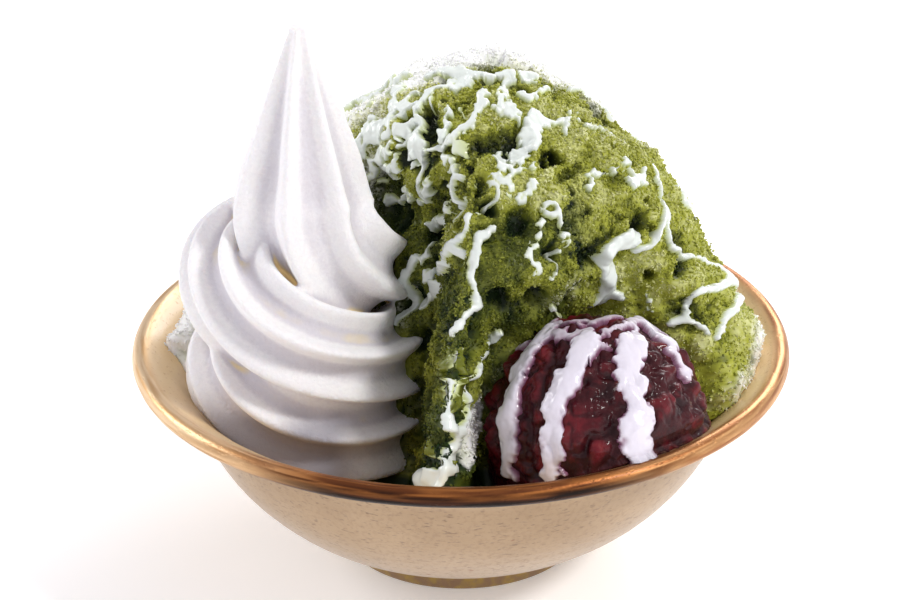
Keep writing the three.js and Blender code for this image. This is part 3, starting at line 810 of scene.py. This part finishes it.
def ice_relief(points):
    """How far the surface stands out from the dome, and how dark its hollows, creases and pits are painted,
    from 0 to 1, as syrup standing in the hollows and as painted shade.
    """
    melt_depth, pits = melted(points), pits_at(points)
    big = crumble(points + 1.4 * noise_vector(points, 3.3), 6.0)
    middle, small = pressed_crumbs(points)
    flakes = fractal_noise(drawn_out(points + 700, 1.7), 5.0, 4)
    crumbs = 0.8 * (big - 0.35) + 0.8 * (middle - 0.35) + 0.6 * (small - 0.35)
    relief = swelling(points) - 4.4 * melt_depth + crumbs - 1.1 * pits + 1.7 * flakes - 0.3
    creases = 0.2 * (1 - smoothstep(big, 0, 0.2)) + 0.12 * (1 - smoothstep(middle, 0, 0.3))
    return relief, np.clip(0.85 * melt_depth + creases + 0.75 * pits - 0.5 * flakes, 0, 1)


def syrup_at(points):
    """How much syrup has soaked in, from 0, white ice, to 1. It was poured over the front.

    The back is bare, and so are the mound's foot at the left and right and a patch by the beans.
    """
    x, y, z = np.moveaxis(points + 3.0 * noise_vector(points, 9.0), -1, 0)
    patches = smoothstep(fractal_noise(drawn_out(points + 400, 1.8), 13.0, 3), -0.6, -0.1)
    back = smoothstep(y - 0.25 * x, -2, 16) * smoothstep(z, RIM + 4, RIM + 26)
    at_edge = smoothstep(np.hypot(points[..., 0], points[..., 1]), 74, 80)
    right_foot = at_edge * smoothstep(x, 40, 55) * (1 - smoothstep(z, RIM + 6, RIM + 30))
    left_foot = smoothstep(-x, 52, 62) * (1 - smoothstep(z, RIM + 20, RIM + 50))
    top = smoothstep(z, RIM + 64, RIM + 78)
    patch = 1 - smoothstep(np.hypot(x - 2.4, (z - RIM - 2) * 0.7) + np.maximum(y + 45, 0), 2.5, 5.0)
    bare = np.clip(0.85 * back + 0.8 * right_foot + left_foot + 0.3 * top + patch, 0, 1)
    return (0.5 + 0.5 * patches) * (1 - bare)


def depth_of_color(points):
    """Where the ice is darker, from 0 to 1, low down and in the middle of the front: syrup gathered there,
    with painted shade between the soft serve and the beans.
    """
    x, y, z = np.moveaxis(points + 5.0 * noise_vector(points, 14.0), -1, 0)
    middle = (1 - smoothstep(x, 18, 46)) * (1 - smoothstep(z, RIM + 40, RIM + 62))
    low = 1 - smoothstep(z, RIM + 4, RIM + 30)
    gathered = np.clip(0.75 * middle + 0.7 * low * (1 - smoothstep(x, 10, 40)), 0, 1)
    gathered = gathered * (1 - smoothstep(y, -5, 20))
    return gathered * (0.7 + 0.6 * value_noise(drawn_out(points + 800, 1.6), 10.0))


def milk_bed(points):
    """How high above the dome milk rests: on swellings and crumbs, half way down the hollows."""
    middle, small = pressed_crumbs(points)
    return swelling(points) - 3.3 * melted(points) + 0.3 + 0.5 * middle + 0.25 * small


def ice_surface(bearing, share):
    """Points of the ice, the way out of it, and how hollow it is. Milk presses crumbs flat."""
    form = mound_form(bearing, share)
    relief, hollow = ice_relief(form)
    milk = milk_on_ice_at(form)
    relief = np.where(milk > 0.1, np.minimum(relief, milk_bed(form) - 0.2), relief)
    outward = mound_outward(bearing, share)
    points = form + outward * (relief * smoothstep(share, -0.02, 0.06))[..., None]
    return kept_in_bowl(points), outward, hollow


# %% [markdown]
# ## Condensed milk
# Thick milk poured from a spoon lies in strands with jagged edges, because it catches on every
# crumb. A strand is a smooth line through a few stations. The nearest distance from a place on
# the ice to such a line, measured after noise has pushed the place about, gives the milk's
# thickness there: a low arch inside the strand's width and less than nothing outside it. Ragged
# strands are pushed further and have holes. The cells of a grid where milk stands out, or
# nearly, make its skin, which is given a back. Where milk is thinner than a film, the skin sinks
# into what lies below, so that no edge hangs free.

# %% Helpers for poured milk
NO_MILK = -4.0
SKIN_FROM = -1.3  # thickness, in millimetres, from which a cell belongs to the skin
FILM = 0.18  # thickness below which milk sinks
DEEPEST = -2.4  # how far it sinks at most


def through(stations, per_stretch=10):
    """A smooth line through stations (n, 2), by Catmull and Rom's rule."""
    given = np.asarray(stations, float)
    padded = np.concatenate([2 * given[:1] - given[1:2], given, 2 * given[-1:] - given[-2:-1]])
    t = np.linspace(0, 1, per_stretch, endpoint=False)[:, None]
    stretches = [
        0.5 * (2 * b + (c - a) * t + (2 * a - 5 * b + 4 * c - d) * t**2 + (3 * b - a - 3 * c + d) * t**3)
        for a, b, c, d in zip(padded, padded[1:], padded[2:], padded[3:])
    ]
    return np.concatenate([*stretches, given[-1:]])


def milk_thickness(points, strands, place, jagged, height):
    """Thickness of the milk at points, in millimetres. Below zero there is none."""
    push = noise_vector(points, 3.6) + 0.8 * noise_vector(points, 1.7) + 0.5 * noise_vector(points, 0.9)
    pushed = (points + jagged * push).reshape(-1, 3)
    thickness = np.full(len(pushed), NO_MILK)
    for half_width, stations in strands:
        line = place(*through(stations).T)
        local = half_width * (1 + 0.3 * value_noise(line, 6.0))
        near = np.nonzero(((pushed > line.min(0) - 7) & (pushed < line.max(0) + 7)).all(1))[0]
        apart = (length(pushed[near, None] - line) / local).min(1)
        arch = height * (0.4 * half_width + 0.3) * np.sqrt(np.maximum(1 - apart**2, 0))
        profile = np.where(apart < 1, arch, (1 - apart) * 1.5 * half_width)
        thickness[near] = np.maximum(thickness[near], profile)
    if jagged > 0.9:
        holes = smoothstep(value_noise(points + 500, 3.1), 0.4, 0.65).reshape(-1)
        thickness = thickness - 1.6 * holes * (thickness < 1.1)
    return thickness.reshape(points.shape[:-1])


def poured(name, base, outward, thickness):
    """Milk as a closed skin over a grid (rows, columns, 3) whose last column meets its first."""
    cells = ring_cells(*thickness.shape)
    kept = cells[(thickness.reshape(-1)[cells] > SKIN_FROM).any(1)]
    used, renumbered = np.unique(kept, return_inverse=True)
    kept = renumbered.reshape(-1, 4)
    height = np.where(thickness < FILM, np.maximum(3 * thickness - 2 * FILM, DEEPEST), thickness)
    top = (base + outward * height[..., None]).reshape(-1, 3)[used]
    back = (base + outward * (np.minimum(height, 0.2) - 0.9)[..., None]).reshape(-1, 3)[used]
    sides = np.stack([kept, np.roll(kept, -1, 1)], -1).reshape(-1, 2)
    codes = sides[:, 0] * len(used) + sides[:, 1]
    opposite = sides[:, 1] * len(used) + sides[:, 0]
    border = sides[~np.isin(codes, opposite)]
    walls = np.stack([border[:, 1], border[:, 0], border[:, 0] + len(used), border[:, 1] + len(used)], -1)
    shown = np.clip(thickness.reshape(-1)[used], -1, 2)
    faces = [kept, kept[:, ::-1] + len(used), walls]
    return make_piece(name, np.concatenate([top, back]), faces, {"milk": np.concatenate([shown, shown])})


# %% [markdown]
# Each strand on the ice has half its width in millimetres and its stations, which are bearings
# in degrees and percent of the way up the mound. The ragged ones lie high up, the smooth ones
# run down the front. Between them, the upper left is covered by a thin web.

# %% Milk on the ice
ICE_STRANDS = [
    (1.9, [(-178, 95.5), (-164, 97.2), (-130, 98), (-60, 97.8), (-22, 96.5)]),
    (1.7, [(-182, 91), (-167, 90), (-160, 89), (-156, 87)]),
    (1.5, [(-156, 87), (-159, 83), (-166, 80)]),
    (1.7, [(-120, 97), (-134, 95), (-142, 93), (-140, 90)]),
    (1.3, [(-140, 90), (-131, 88), (-132, 86), (-141, 82), (-151, 78)]),
    (1.3, [(-116, 92), (-114, 89), (-116, 86), (-121, 82), (-130, 77)]),
    (1.5, [(-91, 95), (-99, 89), (-108, 83), (-106, 80), (-101, 77), (-104, 74)]),
    (1.4, [(-104, 74), (-100, 70), (-106, 66), (-120, 61)]),
    (1.5, [(-50, 97), (-71, 97), (-79, 94)]),
    (1.4, [(-34, 94), (-49, 94), (-62, 93)]),
    (1.6, [(-84, 93), (-79, 92), (-74, 90)]),
    (2.5, [(-53, 89), (-64, 88), (-67, 86), (-73, 83), (-80, 82)]),
    (1.2, [(-53, 89), (-46, 88), (-35, 87), (-24, 87)]),
    (1.1, [(-35, 87), (-43, 85)]),
    (0.8, [(-29, 86), (-25, 82), (-16, 79)]),
    (1.2, [(-82, 81), (-78, 79), (-70, 79)]),
    (1.3, [(-84, 82), (-82, 78), (-80, 74), (-76, 73), (-73, 75), (-74, 77)]),
    (1.2, [(-85, 78), (-86, 75), (-88, 71), (-92, 70)]),
    (1.1, [(-116, 56), (-117, 53), (-116, 49)]),
    (1.2, [(-116, 76), (-119, 71), (-128, 66)]),
    (1.2, [(-132, 70), (-149, 65), (-159, 62)]),
    (1.4, [(-142, 78), (-152, 71)]),
    (1.4, [(-103, 54), (-99, 57), (-96, 59)]),
    (1.4, [(-26, 71), (-36, 73), (-42, 75), (-50, 73)]),
    (2.1, [(-24, 67), (-32, 68)]),
    (1.3, [(-70, 70), (-66, 69), (-66, 66), (-64, 64)]),
    (0.9, [(-64, 63), (-68, 60), (-68, 56)]),
    (1.2, [(-72, 67), (-74, 63), (-76, 61), (-74, 57)]),
    (1.1, [(-66, 46), (-61, 40)]),
    (1.1, [(-34, 36), (-34, 32)]),
]

SMOOTH_STRANDS = [
    (1.3, [(-87, 67), (-90, 63), (-91, 54), (-90, 47), (-93, 43), (-95, 40)]),
    (1.3, [(-94, 68), (-96, 64), (-100, 57), (-103, 53), (-112, 49), (-106, 47), (-118, 42)]),
    (1.2, [(-122, 53), (-127, 47), (-124, 42), (-128, 37)]),
    (0.9, [(-7, 65), (-16, 62), (-20, 58), (-28, 55), (-33, 53), (-38, 54)]),
    (0.9, [(-20, 58), (-27, 53), (-28, 48), (-22, 44), (-14, 39), (-7, 31)]),
    (1.2, [(-8, 57), (-10, 53), (-6, 49)]),
    (2.1, [(-39, 58), (-46, 58), (-48, 55), (-45, 49), (-42, 42), (-44, 39)]),
    (1.8, [(-44, 46), (-38, 39)]),
    (1.2, [(-7, 31), (-14, 29), (-25, 34), (-29, 32), (-30, 29), (-32, 28)]),
    (1.3, [(-14, 29), (1, 19), (4, 16)]),
    (1.2, [(-4, 21), (-15, 23), (-22, 22), (-27, 21)]),
    (0.9, [(-30, 29), (-29, 27), (-28, 23)]),
    (0.9, [(-94, 35), (-94, 32)]),
    (1.2, [(-81, 36), (-86, 32), (-90, 27), (-90, 20), (-90, 17), (-92, 14)]),
    (1.2, [(-94, 28), (-94, 21), (-94, 18), (-92, 14), (-92, 10)]),
    (2.6, [(-92, 10), (-92, 7), (-95, 4), (-100, 3)]),
    (0.8, [(-94, 28), (-92, 27)]),
]


def back_strands(count, seed):
    """Strands for the far side, where each wanders downhill from a random place."""
    rng = np.random.default_rng(seed)
    strands = []
    for _ in range(count):
        bearing, percent = rng.uniform(20, 160), rng.uniform(45, 92)
        stations = [(bearing + rng.uniform(-9, 9), percent - 7 * n) for n in range(rng.integers(3, 5))]
        strands.append((rng.uniform(1.0, 1.7), stations))
    return strands


def milk_web(points):
    """Thickness of the web of milk on the upper left, which follows the noise's zero lines."""
    x, y, z = np.moveaxis(points, -1, 0)
    zone = smoothstep(-x, -22, 6) * smoothstep(z, RIM + 30, RIM + 50) * (1 - smoothstep(y - 0.3 * x, 12, 24))
    zone = zone * (1 - smoothstep(z, RIM + 70, RIM + 74))
    ways = drawn_out(points + 1.2 * noise_vector(points, 2.2) + 900, 1.5)
    width = 0.16 + 0.1 * value_noise(points, 11.0) - 0.25 * pits_at(points)
    line = 9 * (width - np.abs(value_noise(ways, 7.5) + 0.3 * value_noise(ways, 2.4)))
    return np.minimum(line, 0.5) - 2.5 * (1 - zone)


def milk_on_ice_at(points):
    ragged = milk_thickness(points, ICE_STRANDS + back_strands(16, 5), on_mound, 1.35, 0.62)
    smooth = milk_thickness(points, SMOOTH_STRANDS, on_mound, 0.55, 0.8)
    return np.maximum(np.maximum(ragged, smooth), milk_web(points))


# %% [markdown]
# The mound is one closed skin. Below the foot of the dome it follows the inside of the bowl.

# %% Ice mound
ICE_FLOOR = 12.0  # height at which the ice leaves the bowl's wall


def syrup_fields(points, hollow, tone):
    """What the ice's finish needs to know of each point."""
    return {"hollow": hollow, "syrup": syrup_at(points), "deep": depth_of_color(points), "tone": tone}


def ice_mound(columns, rows):
    bearing = all_round(columns)[None, :]
    share = 1 - (1 - np.linspace(1, 0, rows)[:, None]) ** 1.6
    points, _, hollow = ice_surface(bearing, share)
    foot_height = points[-1, :, 2][None, :]
    sinking = np.linspace(0.06, 1, 12)[:, None]
    wall_height = foot_height + (ICE_FLOOR - foot_height) * sinking
    reach = length(points[-1, :, :2])[None, :]
    wall_radius = np.minimum(reach + 30 * sinking, inner_radius(wall_height) - CLEARANCE)
    wall = turned(wall_radius, bearing, wall_height)
    rings = np.concatenate([points[1:], wall])
    hollow = np.concatenate([hollow[1:], 0.8 + np.zeros(wall.shape[:2])])
    fields = syrup_fields(rings, hollow, 0.5 + 0.5 * value_noise(rings, 1.2))
    return closed_skin("shaved_ice_mound", points[0].mean(0), rings, [0, 0, ICE_FLOOR - 2], fields)


ice = ice_mound(440, 202)
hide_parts("shaved_ice")

# %% Milk skin on the ice
milk_bearing = all_round(610)[None, :]
milk_share = 1 - (1 - np.linspace(0.995, 0.005, 278)[:, None]) ** 1.35
milk_form = mound_form(milk_bearing, milk_share)
milk_outward = mound_outward(milk_bearing, milk_share)
thickness = milk_on_ice_at(milk_form)
bed = milk_bed(milk_form)
sunk = np.minimum(bed, ice_relief(milk_form)[0])
lie = bed + (sunk - bed) * (1 - smoothstep(thickness, -0.1, 0.4))
lie = lie * smoothstep(milk_share, -0.02, 0.06)
milk_base = kept_in_bowl(milk_form + milk_outward * lie[..., None])
ice_milk = poured("milk_on_ice", milk_base, milk_outward, thickness)
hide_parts("shaved_ice")

# %% [markdown]
# ## Loose crystals
# What makes ice look like ice is its crystals, which catch the light one by one. Each is an
# octahedron with three unequal axes, turned at random. They are strewn evenly over the mound:
# a place is drawn at random and kept with a chance that follows the surface's size there.
# Places under the soft serve, under the beans and under milk are left out, and on the white
# crest they are thinned, because there each one stands out against the sky.

# %% Crystals
def strewn(count, seed):
    """Random bearings and shares, evenly spread over the dome's surface."""
    rng = np.random.default_rng(seed)
    bearing = rng.uniform(0, 2 * np.pi, 4 * count)
    share = rng.uniform(0, 1, 4 * count) ** 0.8 * 0.998
    step = 1e-3
    around = mound_form(bearing + step, share) - mound_form(bearing, share)
    up = mound_form(bearing, share) - mound_form(bearing, np.maximum(share - step, 0))
    size = length(np.cross(around, up)) * share**0.25
    kept = rng.uniform(0, np.quantile(size, 0.98), 4 * count) < size
    return bearing[kept][:count], share[kept][:count]


def is_covered(points):
    """True where the soft serve or the scoop hides the ice."""
    rope = centre_line[::12]
    radius = rope_radius(np.linspace(0, SWIRL_TURNS, ROPE_STEPS))[::12]
    swirl = (length(points[:, None] - rope) < radius * 0.8).any(1)
    scoop = length((points - SCOOP_CENTRE) / SCOOP_RADIUS) < 0.97
    return swirl | scoop


HALF = [[0, 1, 2], [1, 3, 2], [3, 4, 2], [4, 0, 2]]
OCTAHEDRON = np.array([*HALF, [1, 0, 5], [3, 1, 5], [4, 3, 5], [0, 4, 5]])
CORNERS = 6


def crystals(name, count, seed, smallest, largest):
    """Octahedra on the ice with half axes between the two sizes in millimetres."""
    bearing, share = strewn(count, seed)
    places, outward, hollow = ice_surface(bearing, share)
    milk = milk_on_ice_at(mound_form(bearing, share))
    rng = np.random.default_rng(seed + 1000)
    crest = (syrup_at(places) < 0.3) & (places[:, 2] > RIM + 45)
    thinned = crest & (rng.uniform(size=len(places)) < 0.6)
    free = ~is_covered(places) & (milk < 0.25) & ~thinned
    places, outward, hollow = places[free], outward[free], hollow[free]
    number = len(places)
    size = rng.uniform(smallest, largest, number)
    places = places + outward * (size * rng.uniform(-0.3, 0.9, number))[:, None]
    first = unit(rng.normal(size=(number, 3)))
    second = unit(np.cross(first, rng.normal(size=(number, 3))))
    axes = np.stack([first, second, np.cross(first, second)], 1)
    lengths = size[:, None] * rng.uniform([0.9, 0.55, 0.35], [1.4, 0.95, 0.8], (number, 3))
    axes = axes * lengths[..., None]
    corners = places[:, None] + np.concatenate([axes, -axes], 1)
    all_faces = (np.arange(number)[:, None, None] * CORNERS + OCTAHEDRON).reshape(-1, 3)
    fields = syrup_fields(places, hollow, rng.uniform(0, 1, number))
    fields = {key: np.repeat(values, CORNERS) for key, values in fields.items()}
    piece = make_piece(name, corners.reshape(-1, 3), [all_faces], fields, faceted=True)
    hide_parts("shaved_ice")
    return piece


SCOOP_CENTRE = np.array([34.2, -46.0, RIM - 7])
SCOOP_RADIUS = np.array([28.5, 29.5, 32.5])
SCOOP_BASE = RIM - 14
CRYSTALS_EACH = 24000
ice_crystals = [
    crystals("ice_crystals_fine_1", CRYSTALS_EACH, 1, 0.25, 0.45),
    crystals("ice_crystals_fine_2", CRYSTALS_EACH, 2, 0.25, 0.45),
    crystals("ice_crystals_middle_1", CRYSTALS_EACH, 3, 0.35, 0.6),
    crystals("ice_crystals_middle_2", CRYSTALS_EACH, 4, 0.35, 0.6),
]

# %% [markdown]
# Green tea syrup is dark where it stands and pale where it has only run past. Each crystal has
# its own tone, so that neighbours differ. Four colours are blended by one number, the shade,
# which holds painted shade in the hollows, creases and pits. Pale patches lie over them, and a
# deep green low down and in the middle of the front, partly syrup that gathered there and partly
# painted shade. Where no syrup has come the ice is white.

# %% Ice finish
syrup_ice = Finish(
    "syrup_ice",
    Roughness=0.45,
    Specular_IOR_Level=0.25,
    Subsurface_Weight=0.25,
    Subsurface_Radius=(1.2, 1.3, 1.0),
    Subsurface_Scale=MM,
)
own_tone = syrup_ice.attribute("tone") - 0.5
deep = syrup_ice.attribute("deep")
# the hollow value holds painted shade in hollows, creases and pits, with syrup that stands in the hollows
uneven = syrup_ice.attribute("hollow") + own_tone * 0.36 + (syrup_ice.noise(15.0, detail=3.0) - 0.5) * 0.9
shade = uneven + deep * 0.5
pale = syrup_ice.noise(13.0, detail=3.0).step(0.56, 0.74) * (1 - deep) * (1 - shade.step(0.2, 0.7))
syrup_color = syrup_ice.layers(
    syrup_ice.mix(shade.step(-0.3, 0.15), (218, 220, 160), (168, 172, 60)),
    (shade.step(0.08, 0.5), (94, 100, 26)),
    (shade.step(0.45, 0.95), (22, 32, 10)),
    (pale * 0.55, (214, 216, 140)),
    # deep: darker green low down and in the middle of the front, partly syrup and partly painted shade
    (deep * 0.62, (30, 52, 22)),
)
bare_color = syrup_ice.mix(uneven.step(0.2, 1.1), (252, 253, 251), (222, 227, 206))
soaked = (syrup_ice.attribute("syrup") + own_tone * 0.3).step(0.05, 0.6)
syrup_ice.set("Base Color", syrup_ice.mix(soaked, bare_color, syrup_color))
for piece in [ice, *ice_crystals]:
    syrup_ice.paint(piece)

# %% [markdown]
# ## Red bean paste
# The scoop is a dome of paste in which the beans are partly whole. Its relief is made of
# lumps of a bean's size, crumbs and grain, and the creases between them are painted dark as
# shade. Wet paste shines, so a clear coat lies over it.

# %% Red bean paste
LUMP_HEIGHT = 2.7


def scoop_form(side, forward):
    """Point of the dome: side from -1 to 1 across, forward in degrees from the top to the front."""
    angle = np.radians(forward)
    rest = np.sqrt(np.maximum(1 - side**2, 0))
    direction = np.stack([side, -np.sin(angle) * rest, np.cos(angle) * rest], -1)
    return SCOOP_CENTRE + direction * SCOOP_RADIUS


def paste_lumps(points):
    return crumble(points + 1.2 * noise_vector(points, 5.0), 6.4)


def paste_relief(points):
    """How far lumps, crumbs and grain stand out, in millimetres, and how dark the creases are painted as
    shade.
    """
    lumps, crumbs, grain = paste_lumps(points), crumble(points + 30, 3.4), crumble(points + 70, 1.5)
    soft = smoothstep(value_noise(points + 90, 9.0), -0.2, 0.4)
    fine_relief = (1.9 - 0.6 * soft) * (crumbs - 0.35) + (0.8 - 0.4 * soft) * (grain - 0.35)
    crease = np.clip(1.2 - 2.6 * lumps, 0, 1) + np.clip(0.8 - 2.4 * crumbs, 0, 1)
    return LUMP_HEIGHT * (lumps - 0.35) + fine_relief, crease


def scoop_grid(columns, rows):
    """Directions and points of the dome on a grid, from its top down to its underside."""
    polar = np.linspace(0, np.pi, rows + 2)[1:-1, None]
    direction = turned(np.sin(polar), all_round(columns)[None, :], np.cos(polar))
    points = SCOOP_CENTRE + direction * SCOOP_RADIUS
    points[..., 2] = np.maximum(points[..., 2], SCOOP_BASE)
    return direction, points


direction, dome = scoop_grid(430, 216)
stands_free = smoothstep(dome[..., 2], SCOOP_BASE, SCOOP_BASE + 4)
relief, crease = paste_relief(dome)
dome = kept_in_bowl(dome + direction * (relief * stands_free)[..., None])
paste = closed_skin("bean_paste_scoop", dome[0].mean(0), dome, dome[-1].mean(0), {"crease": crease})
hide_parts("bean_paste")

# %% Milk on the beans
# Half width in millimetres, and stations as scoop_form takes them.
BEAN_STRANDS = [
    (3.4, [(-0.44, -10), (-0.59, 3), (-0.69, 15), (-0.76, 29), (-0.8, 45)]),
    (3.0, [(-0.8, 45), (-0.81, 61), (-0.8, 77), (-0.81, 92)]),
    (3.6, [(-0.14, 15), (-0.24, 27), (-0.35, 38), (-0.41, 47)]),
    (3.0, [(-0.41, 46), (-0.43, 55), (-0.41, 65), (-0.44, 75), (-0.44, 86)]),
    (2.0, [(0.29, -11), (0.29, 0), (0.28, 10)]),
    (3.9, [(0.26, 14), (0.2, 28), (0.24, 40), (0.27, 54), (0.3, 66), (0.32, 70)]),
    (2.9, [(0.36, -15), (0.48, -7), (0.58, 1)]),
    (1.8, [(0.55, 0), (0.66, 8), (0.73, 15)]),
    (1.5, [(-0.66, -20), (-0.51, -9), (-0.33, 4), (-0.14, 6), (0.05, 9), (0.27, -3)]),
    (1.3, [(-0.43, -20), (-0.22, -6), (0.0, -5), (0.16, -10)]),
    (1.4, [(0.3, -12), (0.43, -20), (0.57, -20)]),
    (1.2, [(-0.14, 15), (0.02, 16), (0.2, 13)]),
]

milk_direction, milk_dome = scoop_grid(460, 260)
lie = LUMP_HEIGHT * (paste_lumps(milk_dome) - 0.35) * 0.6 + 0.35
thickness = milk_thickness(milk_dome, BEAN_STRANDS, scoop_form, 1.0, 0.9)
thickness = np.where(milk_dome[..., 2] > RIM - 7, thickness, NO_MILK)
milk_base = kept_in_bowl(milk_dome + milk_direction * lie[..., None])
bean_milk = poured("milk_on_beans", milk_base, milk_direction, thickness)
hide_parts("bean_paste")

# %% [markdown]
# Where milk is thin, what lies below shines through: a violet edge on the beans and a
# green-yellow edge on the ice. The thickness kept with the mesh sets that tint.

# %% Finishes of the paste and the milk
wet = {"Coat_Weight": 0.28, "Coat_Roughness": 0.05}
azuki = Finish("bean_paste_finish", Roughness=0.5, Specular_IOR_Level=0.15, **wet)
bean_color = azuki.layers(
    azuki.mix(azuki.noise(6.0, detail=3.0).step(0.35, 0.65), (62, 10, 18), (106, 21, 31)),
    (azuki.noise(3.4).step(0.55, 0.75) * 0.5, (136, 46, 44)),
    # painted shade: the creases between lumps and crumbs darker
    (azuki.attribute("crease").step(0.1, 1.0) * 0.7, (28, 4, 9)),
)
azuki.set("Base Color", bean_color)
azuki.bump(azuki.noise(1.6, detail=3.0), 0.45)
azuki.paint(paste)


def milk_finish(name, bare, thin, thick, covers_from):
    """Milk whose colour goes from bare over thin to thick, which it has from covers_from in mm."""
    soft = {"Subsurface_Weight": 0.12, "Subsurface_Radius": (1.2, 1.1, 1.0), "Subsurface_Scale": MM}
    finish = Finish(name, Roughness=0.22, **soft)
    milk = finish.attribute("milk")
    film = finish.mix(milk.step(-0.5, 0.05), bare, thin)
    finish.set("Base Color", finish.mix(milk.step(0.02, covers_from), film, thick))
    return finish


green_film = (112, 120, 36), (206, 216, 150)
violet_film = (84, 20, 32), (140, 92, 118)
milk_finish("milk_on_ice_finish", *green_film, (231, 238, 232), 0.45).paint(ice_milk)
milk_finish("milk_on_beans_finish", *violet_film, (232, 227, 238), 1.1).paint(bean_milk)
